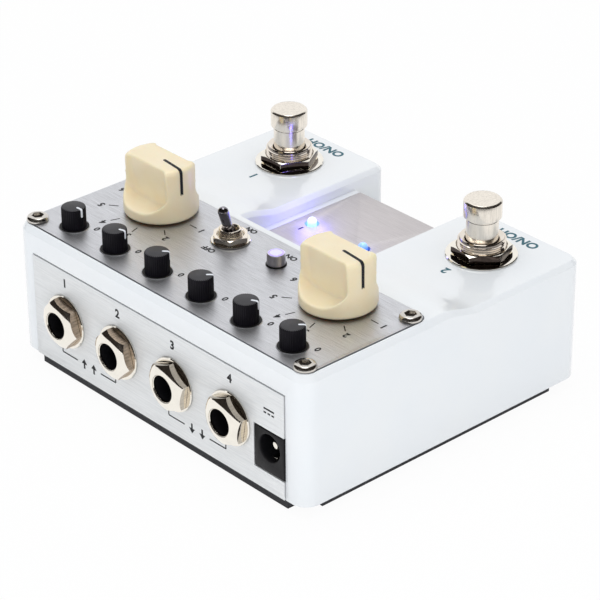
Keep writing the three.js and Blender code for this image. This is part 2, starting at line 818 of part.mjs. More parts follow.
function stompBody() {
  const top = podInside - fit - podTop;
  const floor = top - stompBodyHeight;
  const half = stompBodySize / 2;
  const rise = stompBushingRise;
  const bushing = turned([
    [0, floor + fit], [stompBushingRadius, floor + fit], [stompBushingRadius, rise - stompBushingChamfer],
    [stompBushingRadius - stompBushingChamfer, rise], [0, rise],
  ], fineSegments);
  return cut(join(block(-half, half, -half, half, floor, top), bushing),
    rod(stompNeckRadius + fit, floor + stompFloor, rise + fit, fineSegments),
    rod(stompFlangeRadius + fit, floor + stompFloor, top - stompRoof, fineSegments));
}

// A quarter-inch jack, built upwards from the rear face and then laid down.
function jackBody() {
  const top = -wall - fit;
  const floor = top - jackBodyDepth;
  const nose = turned([
    [0, floor + fit], [jackNoseRadius, floor + fit], [jackNoseRadius, jackNoseRise - jackNoseChamfer],
    [jackNoseRadius - jackNoseChamfer, jackNoseRise], [0, jackNoseRise],
  ]);
  const body = block(-jackBodyWidth / 2, jackBodyWidth / 2, -jackBodyTop, jackBodyBottom, floor, top);
  const bore = rod(jackBore / 2, jackNoseRise - jackBoreDepth, jackNoseRise + fit);
  return toRear(join(body, nose).subtract(bore));
}

// The power inlet, built where it stands at the -X end of the jack plate.
function powerInlet() {
  const x0 = -jackPlateHalf;
  const z0 = shellBase + inletBottom;
  const body = block(x0, x0 + inletWidth, panelFace - inletDepth, panelFace, z0, z0 + inletHeight);
  const axis = [x0 + inletHoleX, 0, z0 + inletHoleZ];
  const hole = toRear(rod(inletHoleRadius, panelFace - inletHoleDepth, panelFace + fit)).translate(axis);
  const pin = rod(inletPinRadius, panelFace - inletHoleDepth - fit, panelFace - inletPinSet, smallSegments);
  return body.subtract(hole).add(toRear(pin).translate(axis));
}

function lamp() {
  const z0 = floorInside - fit - ledFlangeHeight - floorTop;
  const top = centrePlateProud + ledRise;
  return turned([
    [0, z0], [ledRadius + ledFlange, z0], [ledRadius + ledFlange, z0 + ledFlangeHeight],
    [ledRadius, z0 + ledFlangeHeight], ...dome(ledRadius, top),
  ], smallSegments);
}

add("housing", housing(), pearl);
add("base_plate", basePlate(), darkSteel);
add("rubber_mat", rubberMat(), rubber);
add("control_plate", controlPlate(), brushed);
add("jack_plate", jackPlate(), brushedBlue);
add("centre_plate", centrePlate(), brushed);
add("circuit_board", circuitBoard(), boardGreen);

const panelScrewBody = panelScrew();
panelScrews.forEach(([x, y], i) => {
  place(add(`panel_screw_${i + 1}`, panelScrewBody, nickel), x, y, seat + fit);
});
const baseScrewBody = baseScrew();
baseScrews.forEach(([x, y], i) => {
  place(add(`base_screw_${i + 1}`, baseScrewBody, steel), x, y, shellBase - fit);
});

const trimKnobBody = trimKnob();
const potBody = potentiometer();
for (let i = 0; i < trimCount; i += 1) {
  place(add(`trim_knob_${i + 1}`, trimKnobBody, blackPlastic), trimX(i), trimY, seat);
  place(add(`potentiometer_${i + 1}`, potBody, steel), trimX(i), trimY, seat);
}

const selectorKnobBody = selectorKnob();
const selectorSwitchBody = selectorSwitch();
const plungerBody = stompPlunger();
const stompBodyForm = stompBody();
const stompBore = stompBushingRadius + fit;
const stompNutFloor = fit + stompWasherThickness + fit;
const stompWasherForm = washer(stompWasherRadius, stompBore, fit, fit + stompWasherThickness);
const stompNutForm = hexNut(stompNutRadius, stompBore, stompNutFloor, stompNutFloor + stompNutHeight);
mirrored.forEach((s, i) => {
  const n = i + 1;
  place(add(`selector_knob_${n}`, selectorKnobBody, creamPlastic), s * selectorX, selectorY, seat);
  place(add(`selector_switch_${n}`, selectorSwitchBody, steel), s * selectorX, selectorY, seat);
  place(add(`footswitch_plunger_${n}`, plungerBody, nickel), s * stompX, stompY, podTop);
  place(add(`footswitch_body_${n}`, stompBodyForm, nickel), s * stompX, stompY, podTop);
  place(add(`footswitch_washer_${n}`, stompWasherForm, nickel), s * stompX, stompY, podTop);
  place(add(`footswitch_nut_${n}`, stompNutForm, nickel), s * stompX, stompY, podTop);
  place(add(`led_${n}`, lamp(), ledPlastic), s * ledX, ledY, floorTop);
});

const lever = place(add("toggle_lever", toggleLever(), nickel), toggleX, toggleY, seat + togglePivotHeight);
lever.rotation.x = -THREE.MathUtils.degToRad(toggleLeanDeg);
const toggleBore = toggleBushingRadius + fit;
const toggleNutFloor = fit + toggleWasherThickness + fit;
const toggleWasherForm = washer(toggleWasherRadius, toggleBore, fit, fit + toggleWasherThickness);
const toggleNutForm = hexNut(toggleNutRadius, toggleBore, toggleNutFloor, toggleNutFloor + toggleNutHeight);
place(add("toggle_body", toggleBody(), nickel), toggleX, toggleY, seat);
place(add("toggle_washer", toggleWasherForm, nickel), toggleX, toggleY, seat);
place(add("toggle_nut", toggleNutForm, nickel), toggleX, toggleY, seat);
place(add("push_button", pushButton(), silverPlastic), buttonX, buttonY, seat);
place(add("button_switch", buttonSwitch(), blackPlastic), buttonX, buttonY, seat);

const jackForm = jackBody();
const jackBoreFit = jackNoseRadius + fit;
const jackWasherFloor = plateProud + fit;
const jackNutFloor = jackWasherFloor + jackWasherThickness + fit;
const jackWasherForm = toRear(
  washer(jackWasherRadius, jackBoreFit, jackWasherFloor, jackWasherFloor + jackWasherThickness));
const jackNutForm = toRear(hexNut(
  jackNutRadius, jackBoreFit, jackNutFloor, jackNutFloor + jackNutHeight, jackNutTopShare, jackNutDropShare));
for (let i = 0; i < jackCount; i += 1) {
  place(add(`jack_body_${i + 1}`, jackForm, nickel), jackX(i), rear, jackZ);
  place(add(`jack_washer_${i + 1}`, jackWasherForm, nickel), jackX(i), rear, jackZ);
  place(add(`jack_nut_${i + 1}`, jackNutForm, nickel), jackX(i), rear, jackZ);
}
add("power_inlet", powerInlet(), blackPlastic);

export default group;
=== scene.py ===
# %% [markdown]
# # A stereo delay pedal
# This lesson dresses the construction of a delay pedal: a white cast shell with a raised deck of
# controls at the back, two footswitch pods at the front, and four quarter-inch jacks behind.
# The construction comes in as a frame of plain solids. Everything here is drawn round it in the
# same place and size, so no piece is fitted by eye. Sizes are written in millimetres.

# %% Load the frame
import math

import bmesh
import bpy
from mathutils import Matrix, Vector


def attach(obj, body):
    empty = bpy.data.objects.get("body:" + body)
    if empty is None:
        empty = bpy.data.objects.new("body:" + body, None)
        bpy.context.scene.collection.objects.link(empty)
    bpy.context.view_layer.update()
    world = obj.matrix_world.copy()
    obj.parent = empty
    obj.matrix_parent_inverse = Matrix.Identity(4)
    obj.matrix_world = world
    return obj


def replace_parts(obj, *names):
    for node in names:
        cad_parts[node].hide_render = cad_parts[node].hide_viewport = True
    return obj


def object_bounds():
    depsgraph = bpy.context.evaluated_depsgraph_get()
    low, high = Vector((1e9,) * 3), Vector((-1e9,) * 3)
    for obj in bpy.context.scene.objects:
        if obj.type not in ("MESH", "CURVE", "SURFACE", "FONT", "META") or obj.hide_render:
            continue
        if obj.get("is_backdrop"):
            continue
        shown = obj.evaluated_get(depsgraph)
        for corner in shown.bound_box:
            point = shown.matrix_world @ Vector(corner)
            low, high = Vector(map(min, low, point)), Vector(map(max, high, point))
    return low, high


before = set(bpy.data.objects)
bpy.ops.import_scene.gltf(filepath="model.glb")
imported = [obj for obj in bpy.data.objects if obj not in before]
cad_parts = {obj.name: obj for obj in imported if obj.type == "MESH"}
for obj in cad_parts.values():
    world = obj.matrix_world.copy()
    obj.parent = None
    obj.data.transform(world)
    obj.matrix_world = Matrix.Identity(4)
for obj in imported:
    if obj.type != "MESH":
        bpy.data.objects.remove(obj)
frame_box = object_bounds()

MM = 0.001

# %% [markdown]
# ## Node trees written as Python
# Finishes and Geometry Nodes are both node trees. Clicking them together hides the thinking, so a
# small class wraps a socket and lets Python's operators add the Math nodes. `grain * 0.5 + 0.2`
# then reads like the sum it is. One method adds any other node.

# %% A wire that can be added and multiplied, and the tree it runs in
def operator(operation, swapped=False):
    """A method that answers a Python operator with one Math node."""
    def apply(self, other):
        pair = (other, self) if swapped else (self, other)
        return self.maths(operation, *pair)
    return apply


class Wire:
    """An output socket. Each operator adds one Math node and gives its output."""

    def __init__(self, tree, socket):
        self.tree = tree
        self.socket = socket

    def maths(self, operation, *values):
        inputs = dict(enumerate(values))
        return self.tree.add("ShaderNodeMath", {"operation": operation}, inputs)

    __add__ = __radd__ = operator("ADD")
    __sub__ = operator("SUBTRACT")
    __rsub__ = operator("SUBTRACT", swapped=True)
    __mul__ = operator("MULTIPLY")
    __truediv__ = operator("DIVIDE")
    __gt__ = operator("GREATER_THAN")

    def between(self, low, high):
        """0 below low, 1 above high and a straight ramp between."""
        settings = {"interpolation_type": "LINEAR", "clamp": True}
        return self.tree.add("ShaderNodeMapRange", settings, {0: self, 1: low, 2: high})


class Tree:
    """A shader or geometry tree: add() takes a node's type, settings and inputs."""

    def __init__(self, tree):
        self.nodes = tree.nodes
        self.links = tree.links

    def add(self, kind, settings=None, inputs=None, output=0):
        node = self.nodes.new(kind)
        for name, value in (settings or {}).items():
            setattr(node, name, value)
        for name, value in (inputs or {}).items():
            if isinstance(value, Wire):
                self.links.new(value.socket, node.inputs[name])
            else:
                node.inputs[name].default_value = value
        return Wire(self, node.outputs[output]) if node.outputs else node


print("node helpers ready")

# %% A finish: one material with its place in millimetres
class Finish(Tree):
    """A material on a Principled surface. Its patterns are laid out in object millimetres."""

    def __init__(self, name, **surface):
        self.material = bpy.data.materials.new(name)
        self.material.use_nodes = True
        super().__init__(self.material.node_tree)
        self.surface = self.nodes["Principled BSDF"]
        for socket, value in surface.items():
            self.set(socket.replace("_", " "), value)
        place = self.add("ShaderNodeTexCoord", output=3)
        self.mm = self.stretch(place, (1 / MM, 1 / MM, 1 / MM))

    def set(self, socket, value):
        if isinstance(value, Wire):
            self.links.new(value.socket, self.surface.inputs[socket])
        elif isinstance(value, tuple) and len(value) == 3 and "Color" in socket:
            self.surface.inputs[socket].default_value = (*value, 1)
        else:
            self.surface.inputs[socket].default_value = value

    def paint(self, color, roughness):
        self.set("Base Color", color)
        self.set("Roughness", roughness)

    def stretch(self, vector, scale):
        return self.add("ShaderNodeVectorMath", {"operation": "MULTIPLY"}, {0: vector, 1: scale})

    def noise(self, vector, scale, detail, roughness=0.5):
        inputs = {"Vector": vector, "Scale": scale, "Detail": detail, "Roughness": roughness}
        return self.add("ShaderNodeTexNoise", None, inputs)

    def mix(self, factor, first, second):
        colors = [c if isinstance(c, Wire) else (*c, 1) for c in (first, second)]
        inputs = {0: factor, 6: colors[0], 7: colors[1]}
        return self.add("ShaderNodeMix", {"data_type": "RGBA"}, inputs, 2)

    def axis(self, name):
        return self.add("ShaderNodeSeparateXYZ", None, {0: self.mm}, "XYZ".index(name))

    def bump(self, height, depth_mm, strength):
        inputs = {"Strength": strength, "Distance": depth_mm * MM, "Height": height}
        self.set("Normal", self.add("ShaderNodeBump", None, inputs))


def scaled(values, factor):
    return tuple(v * factor for v in values)


def dress(piece, finish):
    """Gives the whole piece one finish."""
    piece.data.materials.clear()
    piece.data.materials.append(finish.material)
    return piece


print("finish helper ready")

# %% [markdown]
# ## The finishes
# The shell is pearl-white paint under a clear coat, so it has a faint flake and a faint orange peel.
# A coat layer gives the sharp reflection, and the base below it stays broad and soft.

# %% Pearl paint
def pearl_paint():
    f = Finish("pearl_paint", Coat_Roughness=0.05, IOR=1.45)
    flake = f.noise(f.mm, 7.0, 1.0)
    cloud = f.noise(f.mm, 0.06, 1.0)
    tone = f.mix(cloud.between(0.35, 0.65), (0.845, 0.872, 0.9), (0.862, 0.882, 0.9))
    f.paint(f.mix(flake.between(0.45, 0.75) * 0.35, tone, (0.9, 0.91, 0.93)), 0.3 + flake * 0.1)
    f.set("Coat Weight", 0.88 + cloud * 0.12)
    f.bump(f.noise(f.mm, 0.9, 2.0) + flake * 0.1, 0.012, 0.5)
    return f


PEARL = pearl_paint()
print("pearl paint:", len(PEARL.nodes), "nodes")

# %% [markdown]
# Brushed steel is drawn under an abrasive belt, so its scratches are long along the brushing and
# very fine across it. One noise stretched some eighty times longer than wide gives the lines, and a
# second and wider one gives bands. Both steer the colour and a shallow bump, and the lines alone
# steer the roughness.

# %% Brushed steel
def brushed_steel(name, tone, along, roughness, contrast=1.0, metal=1.0):
    f = Finish(name, Metallic=metal)
    long_way = {"X": (0.07, 5.5, 5.5), "Y": (5.5, 0.07, 5.5)}[along]
    lines = f.noise(f.stretch(f.mm, long_way), 2.4, 5.0, 0.65)
    bands = f.noise(f.stretch(f.mm, scaled(long_way, 0.22)), 1.6, 3.0)
    deep = lines.between(0.3, 0.72)
    dark = scaled(tone, 1 - 0.2 * contrast)
    light = tuple(min(v * (1 + 0.13 * contrast), 0.95) for v in tone)
    shade = f.mix(deep, dark, light)
    f.paint(f.mix(bands.between(0.3, 0.7) * 0.5, shade, tone), roughness + (1 - deep) * 0.16)
    f.bump(lines + bands * 0.5, 0.006, 0.55)
    return f


DECK_STEEL = brushed_steel("deck_steel", (0.665, 0.675, 0.71), "X", 0.34, contrast=2.2)
REAR_STEEL = brushed_steel("rear_steel", (0.84, 0.86, 0.875), "X", 0.42, contrast=1.1, metal=0.4)
CENTRE_STEEL = brushed_steel("centre_steel", (0.7, 0.67, 0.68), "X", 0.5, contrast=0.9)
CAN_STEEL = brushed_steel("can_steel", (0.5, 0.48, 0.45), "Y", 0.42)
print("brushed steels: 4")

# %% [markdown]
# The switches and jacks are nickel plated. Nickel is warmer than chrome, and plating follows the
# turning marks below it, so there is a little grain along the marks and a few darker, duller
# patches. Faces that stand upright, told apart by the surface's own normal, get a near-black
# painted dark reflection of the room. The flats of nuts get a finish of their own: painted
# reflections in dark, brown or beige tones with dark streaks, and their bevels stay bright.

# %% Plated metals
def plated(name, tone, roughness, dull=0.12, upright_reflection=None, marks=(1.2, 1.2, 9.0), streak=0.0):
    """Nickel or bare steel: dull adds roughness to worn patches; the next colour paints a dark reflection on
    upright faces.
    """
    f = Finish(name, Metallic=1.0)
    patch = f.noise(f.mm, 0.35, 3.0)
    rub = f.noise(f.stretch(f.mm, marks), 1.5, 3.0)
    color = f.mix(patch.between(0.35, 0.8) * 0.4, tone, scaled(tone, 0.84))
    if streak:
        color = f.mix(rub.between(0.42, 0.66) * streak, color, scaled(tone, 0.45))
    # Upright faces get the near-black colour: a painted dark reflection.
    if upright_reflection:
        facing = f.add("ShaderNodeTexCoord", output=1)
        share = f.add("ShaderNodeSeparateXYZ", None, {0: facing}, 2)
        side = 1 - share.maths("ABSOLUTE", share).between(0.12, 0.62)
        color = f.mix(side * (0.75 + rub * 0.25), color, upright_reflection)
    f.paint(color, roughness + patch.between(0.5, 0.85) * dull + rub * 0.03)
    f.bump(rub, 0.002, 0.4)
    return f


NICKEL = plated("warm_nickel", (0.91, 0.87, 0.79), 0.04, 0.06)
SOFT_NICKEL = plated("soft_nickel", (0.94, 0.87, 0.77), 0.19, 0.1)
# Its upright faces, the collar wall and the thread flanks, carry a painted dark reflection.
NICKEL_UPRIGHT_REFLECTION = plated("warm_nickel_upright_painted_reflection", (0.82, 0.75, 0.67), 0.07, 0.08, upright_reflection=(0.06, 0.045, 0.042))
CAP_NICKEL = plated("rubbed_nickel", (0.89, 0.83, 0.745), 0.2, 0.06, marks=(1.3, 1.3, 0.14), streak=0.2)
# Nut flats: dark, brown and beige tones that are painted reflections, with dark streaks.
STOMP_NUT_REFLECTION = plated("nickel_painted_reflection", (0.1, 0.075, 0.064), 0.12, 0.1, marks=(1.6, 1.6, 0.3), streak=0.5)
BEIGE_JACK_REFLECTION = plated(
    "nickel_painted_reflection_beige", (0.74, 0.66, 0.55), 0.07, 0.06, marks=(1.8, 0.3, 1.8), streak=0.35)
BROWN_JACK_REFLECTION = plated(
    "nickel_painted_reflection_brown", (0.6, 0.48, 0.37), 0.36, 0.1, marks=(2.4, 0.3, 2.4), streak=0.8)
DARK_NICKEL = plated("dark_nickel", (0.3, 0.29, 0.32), 0.1)
BUTTON_STEEL = plated("button_head_steel", (0.66, 0.63, 0.59), 0.16)
SILVER = plated("silver_cap", (0.78, 0.76, 0.82), 0.3, 0.1)
print("plated metals: 10")

# %% [markdown]
# The big knobs are cast in a cream plastic that lets light in a few millimetres, so thin rims glow
# and thick parts look warmer. Subsurface scattering does that. Faint flow clouds keep it from
# looking like paint. The black plastics are satin with a fine spark-eroded mould texture.

# %% Plastics and rubber
def cream_plastic():
    f = Finish("cream_plastic", IOR=1.49, Coat_Roughness=0.2, Subsurface_Weight=0.35,
               Subsurface_Scale=0.0022, Subsurface_Radius=(1.0, 0.72, 0.42))
    cloud = f.noise(f.mm, 0.16, 3.0)
    speck = f.noise(f.mm, 2.2, 2.0)
    base = f.mix(cloud.between(0.3, 0.7), (0.87, 0.74, 0.5), (0.89, 0.78, 0.56))
    f.paint(f.mix(speck.between(0.6, 0.8) * 0.25, base, (0.78, 0.65, 0.42)), 0.3 + cloud * 0.12)
    f.set("Coat Weight", 0.25 + cloud * 0.1)
    f.bump(f.noise(f.mm, 1.1, 3.0), 0.02, 0.35)
    return f


def black_plastic(name, tone, roughness, grain, gloss=0.5):
    f = Finish(name, IOR=1.5, Specular_IOR_Level=gloss)
    fine = f.noise(f.mm, grain, 3.0, 0.6)
    wear = f.noise(f.mm, 0.5, 3.0)
    f.paint(f.mix(wear.between(0.45, 0.8) * 0.6, tone, scaled(tone, 2.1)), roughness + fine * 0.2)
    f.bump(fine, 0.03, 0.5)
    return f


CREAM = cream_plastic()
KNOB_BLACK = black_plastic("ribbed_black_plastic", (0.0052, 0.0045, 0.0072), 0.34, 5.0, gloss=0.13)
KNOB_TOP = black_plastic("textured_black_plastic", (0.016, 0.0155, 0.021), 0.36, 4.0)
INLET_BLACK = black_plastic("inlet_black_plastic", (0.006, 0.0057, 0.0072), 0.4, 3.0, gloss=0.25)
RUBBER = black_plastic("mat_rubber", (0.026, 0.026, 0.03), 0.7, 2.2)
BASE_PAINT = black_plastic("base_paint", (0.03, 0.03, 0.034), 0.45, 3.0)
BOARD = black_plastic("board_resist", (0.014, 0.09, 0.04), 0.3, 1.0)
print("plastics: 7")

# %% [markdown]
# Print and lamps are the last finishes. The lamps glow through a milky lens, which a little emission
# on a coated surface gives. The print is matt ink.

# %% Print and lamps
def ink(name, tone):
    f = Finish(name, IOR=1.45, Specular_IOR_Level=0.2)
    worn = f.noise(f.mm, 3.0, 2.0)
    pale = tuple(min(v * 1.5 + 0.02, 0.9) for v in tone)
    f.paint(f.mix(worn.between(0.55, 0.9) * 0.3, tone, pale), 0.42 + worn * 0.2)
    return f


def glow(name, tone, light, strength, foot_z=None, top_z=None):
    """A lit lens. With two heights given, it is paler towards its top."""
    f = Finish(name, IOR=1.5, Coat_Weight=0.6, Coat_Roughness=0.05, Emission_Strength=strength)
    core = f.noise(f.mm, 0.8, 2.0)
    rise = core.between(0.2, 0.8) if foot_z is None else f.axis("Z").between(foot_z, top_z)
    f.paint(f.mix(core, tone, light), 0.2 + core * 0.1)
    f.set("Emission Color", f.mix(rise, tone, light))
    return f


PRINT_BLACK = ink("print_black", (0.02, 0.02, 0.023))
PRINT_WHITE = ink("print_white", (0.8, 0.83, 0.88))
PRINT_TEAL = ink("print_teal", (0.055, 0.15, 0.19))
LAMP_BRIGHT = glow("lamp_bright", (0.28, 0.72, 1.0), (0.85, 0.96, 1.0), 1.15, 31.5, 32.7)
LAMP_DIM = glow("lamp_dim", (0.07, 0.22, 0.9), (0.3, 0.52, 1.0), 0.75, 31.6, 32.6)
LAMP_VIOLET = glow("lamp_violet", (0.3, 0.2, 0.9), (0.42, 0.33, 1.0), 0.8)
# The button's centre is no lamp: its lavender tint and faint glow paint the violet light of the ring.
BUTTON_TOP_PAINTED_GLOW = glow("button_top_painted_glow", (0.78, 0.75, 0.88), (0.8, 0.77, 0.95), 0.06)
print("inks and lamps: 7")

# %% [markdown]
# ## Mesh helpers
# Turned, pressed and moulded pieces come from three moves: a profile turned round an axis, an
# outline lofted between levels, and one form cut out of another. Bevelled edges are what catches
# the light on real metal, so nearly every piece gets a small one before its edges are marked sharp.

# %% Make, settle, freeze, carve
DOUBLE = 0.004 * MM


def added(name, data):
    """Puts a mesh, a curve, a light or a camera into the scene as an object."""
    thing = bpy.data.objects.new(name, data)
    bpy.context.collection.objects.link(thing)
    return thing


def make(name, points, faces):
    mesh = bpy.data.meshes.new(name)
    mesh.from_pydata([Vector(p) * MM for p in points], [], faces)
    return added(name, mesh)


def settle(piece, sharp_deg=32):
    """Merges doubles, turns faces outwards, and shades smooth between sharp edges."""
    bm = bmesh.new()
    bm.from_mesh(piece.data)
    bmesh.ops.remove_doubles(bm, verts=bm.verts, dist=DOUBLE)
    bmesh.ops.recalc_face_normals(bm, faces=bm.faces)
    limit = math.radians(sharp_deg)
    for face in bm.faces:
        face.smooth = True
    for edge in bm.edges:
        edge.smooth = edge.calc_face_angle(0.0) < limit
    bm.to_mesh(piece.data)
    bm.free()
    return piece


def freeze(piece):
    """Turns the modified shape into a plain mesh."""
    graph = bpy.context.evaluated_depsgraph_get()
    mesh = bpy.data.meshes.new_from_object(piece.evaluated_get(graph))
    piece.modifiers.clear()
    piece.data = mesh
    return piece


def carve(piece, *tools, operation="DIFFERENCE"):
    """Cuts, joins or intersects the piece with each tool, and throws the tools away."""
    for tool in tools:
        cut = piece.modifiers.new("cut", "BOOLEAN")
        cut.solver = "MANIFOLD"
        cut.operation = operation
        cut.object = settle(tool)
    freeze(piece)
    for tool in tools:
        bpy.data.objects.remove(tool)
    return piece


def round_edges(piece, width_mm, segments, angle_deg=30):
    """Rounds every edge that is sharper than the angle."""
    bm = bmesh.new()
    bm.from_mesh(piece.data)
    bmesh.ops.remove_doubles(bm, verts=bm.verts, dist=DOUBLE)
    bmesh.ops.dissolve_limit(bm, angle_limit=math.radians(0.6), verts=bm.verts, edges=bm.edges)
    bm.to_mesh(piece.data)
    bm.free()
    soft = piece.modifiers.new("edges", "BEVEL")
    soft.width = width_mm * MM
    soft.segments = segments
    soft.limit_method = "ANGLE"
    soft.angle_limit = math.radians(angle_deg)
    return freeze(piece)


def move(piece, x=0, y=0, z=0, turn=None):
    """Places a mesh: turned first, by a matrix, and then moved."""
    place = Matrix.Translation(Vector((x, y, z)) * MM)
    piece.data.transform(place @ turn.to_4x4() if turn else place)
    return piece


def merge(name, pieces):
    """Joins pieces of one body and one finish into one mesh."""
    bm = bmesh.new()
    for piece in pieces:
        bm.from_mesh(piece.data)
    mesh = bpy.data.meshes.new(name)
    bm.to_mesh(mesh)
    bm.free()
    for material in pieces[0].data.materials:
        mesh.materials.append(material)
    for piece in pieces:
        bpy.data.objects.remove(piece)
    return added(name, mesh)


def turn_about(axis, degrees):
    return Matrix.Rotation(math.radians(degrees), 3, axis)


TO_REAR = turn_about("X", -90)
print("mesh helpers ready")

# %% Outlines, lofts and turned forms
def oval(x, y, wide, high, first_deg, last_deg, steps):
    """Points along part of an ellipse, both ends included."""
    turns = [math.radians(first_deg + (last_deg - first_deg) * i / steps) for i in range(steps + 1)]
    return [(x + wide * math.cos(a), y + high * math.sin(a)) for a in turns]


def arc(x, y, radius, first_deg, last_deg, steps):
    return oval(x, y, radius, radius, first_deg, last_deg, steps)


def rounded(x0, x1, y0, y1, radii, steps=10):
    """A rectangle. Its radii run from the low right corner counter-clockwise."""
    a, b, c, d = radii
    return [
        *arc(x1 - a, y0 + a, a, -90, 0, steps), *arc(x1 - b, y1 - b, b, 0, 90, steps),
        *arc(x0 + c, y1 - c, c, 90, 180, steps), *arc(x0 + d, y0 + d, d, 180, 270, steps),
    ]


def inset(outline, distance):
    """The outline moved inwards, with mitred corners. It runs counter-clockwise."""
    moved = []
    for i, (x, y) in enumerate(outline):
        (px, py), (nx, ny) = outline[i - 1], outline[(i + 1) % len(outline)]
        first = Vector((x - px, y - py)).normalized()
        second = Vector((nx - x, ny - y)).normalized()
        in_first, in_second = Vector((-first.y, first.x)), Vector((-second.y, second.x))
        step = (in_first + in_second) * (distance / (1 + in_first.dot(in_second)))
        moved.append((x + step.x, y + step.y))
    return moved


def loft(name, rows):
    """Skins rows of points, each as long as the first, and closes both ends."""
    count = len(rows[0])
    points = [p for row in rows for p in row]
    faces = [list(range(count))[::-1], [len(points) - count + i for i in range(count)]]
    for r in range(len(rows) - 1):
        for i in range(count):
            j = (i + 1) % count
            faces.append((r * count + i, r * count + j, (r + 1) * count + j, (r + 1) * count + i))
    return make(name, points, faces)


def level(outline, z):
    return [(x, y, z) for x, y in outline]


def prism(name, outline, z0, z1, inward=0, down=0):
    """An outline pushed up, with a chamfer round its top when asked for."""
    rows = [level(outline, z0), level(outline, z1 - down)]
    if down:
        rows.append(level(inset(outline, inward), z1))
    return loft(name, rows)


def block(name, x0, x1, y0, y1, z0, z1):
    return prism(name, [(x0, y0), (x1, y0), (x1, y1), (x0, y1)], z0, z1)


def across(name, view, x0, x1, chamfer=0):
    """A side view of (y, z) points pushed along X, with chamfered ends when asked for."""
    small = inset(view, chamfer) if chamfer else view
    places = [(small, x0), (view, x0 + chamfer), (view, x1 - chamfer), (small, x1)]
    if not chamfer:
        places = [places[0], places[-1]]
    return loft(name, [[(x, y, z) for y, z in outline] for outline, x in places])


def turned(name, profile, steps, x=0, y=0, closed=False):
    """A profile of (radius, height) points turned round the Z axis at x, y."""
    points, faces = [], []
    for radius, z in profile:
        for i in range(steps):
            a = 2 * math.pi * i / steps
            points.append((x + radius * math.cos(a), y + radius * math.sin(a), z))
    last = len(profile) if closed else len(profile) - 1
    for r in range(last):
        q = (r + 1) % len(profile)
        for i in range(steps):
            j = (i + 1) % steps
            faces.append((r * steps + i, r * steps + j, q * steps + j, q * steps + i))
    return make(name, points, faces)


def rod(name, radius, z0, z1, steps, x=0, y=0):
    return turned(name, [(0, z0), (radius, z0), (radius, z1), (0, z1)], steps, x, y)


print("forms ready")

# %% [markdown]
# ## The shell
# The real shell is cast in one piece: a deck, an S-shaped ramp down to two pods, and a low floor
# between them. It could be sculpted, but its faces are flat and its chamfers constant, so it is
# built like the casting's own drawing. A side view is pushed across each pod, which lets the
# chamfer follow the ramp, and the plan view trims it.

# %% Levels and places, the same as in the construction
SIDE, REAR, FRONT = 51, 44, -44
BASE, DECK, POD, FLOOR = 3, 36.4, 34.2, 30.9
SEAT = 36.6
HALF_NOTCH = 15.5
LIP, FLOOR_FRONT = 2.5, -33.4
RAMP_REAR, RAMP_FRONT = 2, -9.6
CORNER, INNER_CORNER, CHAMFER, WALL = 4.2, 3, 1.1, 2.8
FIT, FAR = 0.3, 20
PLATE_SIDE, PLATE_FRONT, PLATE_REAR, PLATE_CORNER = 49.4, 5.4, 42.4, 2.8
JACK_PLATE_SIDE, JACK_PLATE_TOP, JACK_PLATE_FACE = 44.5, BASE + 26.7, REAR + 0.2
CENTRE_SIDE, CENTRE_REAR, CENTRE_LOW, CENTRE_TOP = 13.2, 1.6, 30.3, 31.3
WINDOW_SIDE, WINDOW_LOW, WINDOW_TOP = -34.5, BASE + 4.6, BASE + 15.9
TRIMS = [(38.5 - 15.4 * i, 36) for i in range(6)]
SELECTORS = [(31, 15.5), (-31, 15.5)]
TOGGLE, BUTTON = (8, 13.6), (-8, 13.6)
STOMPS = [(33.45, -27.8), (-33.45, -27.8)]
LAMPS = [(8.9, -13), (-8.9, -13)]
SCREWS = [(side * 47.1, y) for side in (1, -1) for y in (40.2, 8.6)]
JACKS = [32.5 - 19.7 * i for i in range(4)]
JACK_Z = 16.4
print("shell:", 2 * SIDE, "by", REAR - FRONT, "by", round(DECK - BASE, 1), "mm")

# %% Holes, each a place and a radius
KNOB_HOLES = [(*spot, 3.3) for spot in TRIMS] + [(*spot, 4.8) for spot in SELECTORS]
SWITCH_HOLES = [(*TOGGLE, 3.3), (*BUTTON, 2.5)] + [(*spot, 1.8) for spot in SCREWS]
STOMP_HOLES = [(*spot, 5.95) for spot in STOMPS]
LAMP_HOLES = [(*spot, 1.8) for spot in LAMPS]
JACK_HOLE = 5


def holes(places, z0, z1, steps):
    return [rod("hole", radius, z0, z1, steps, x, y) for x, y, radius in places]


def jack_holes(y0, y1, steps):
    return [move(rod("hole", JACK_HOLE, y0, y1, steps), x, 0, JACK_Z, TO_REAR) for x in JACKS]


def plate_outline(gap=0):
    """The control plate from above, or its seat with a gap all round."""
    side = PLATE_SIDE + gap
    return rounded(-side, side, PLATE_FRONT - gap, PLATE_REAR + gap, (PLATE_CORNER + gap,) * 4)


print("holes:", len(KNOB_HOLES + SWITCH_HOLES + STOMP_HOLES + LAMP_HOLES + JACKS))

# %% The cast form
def top_line():
    """The ramp's S, from the deck's edge down to the pod."""
    steps = 20
    points = []
    for i in range(steps + 1):
        t = i / steps
        ease = t * t * (3 - 2 * t)
        points.append((RAMP_REAR + (RAMP_FRONT - RAMP_REAR) * t, DECK + (POD - DECK) * ease))
    return points


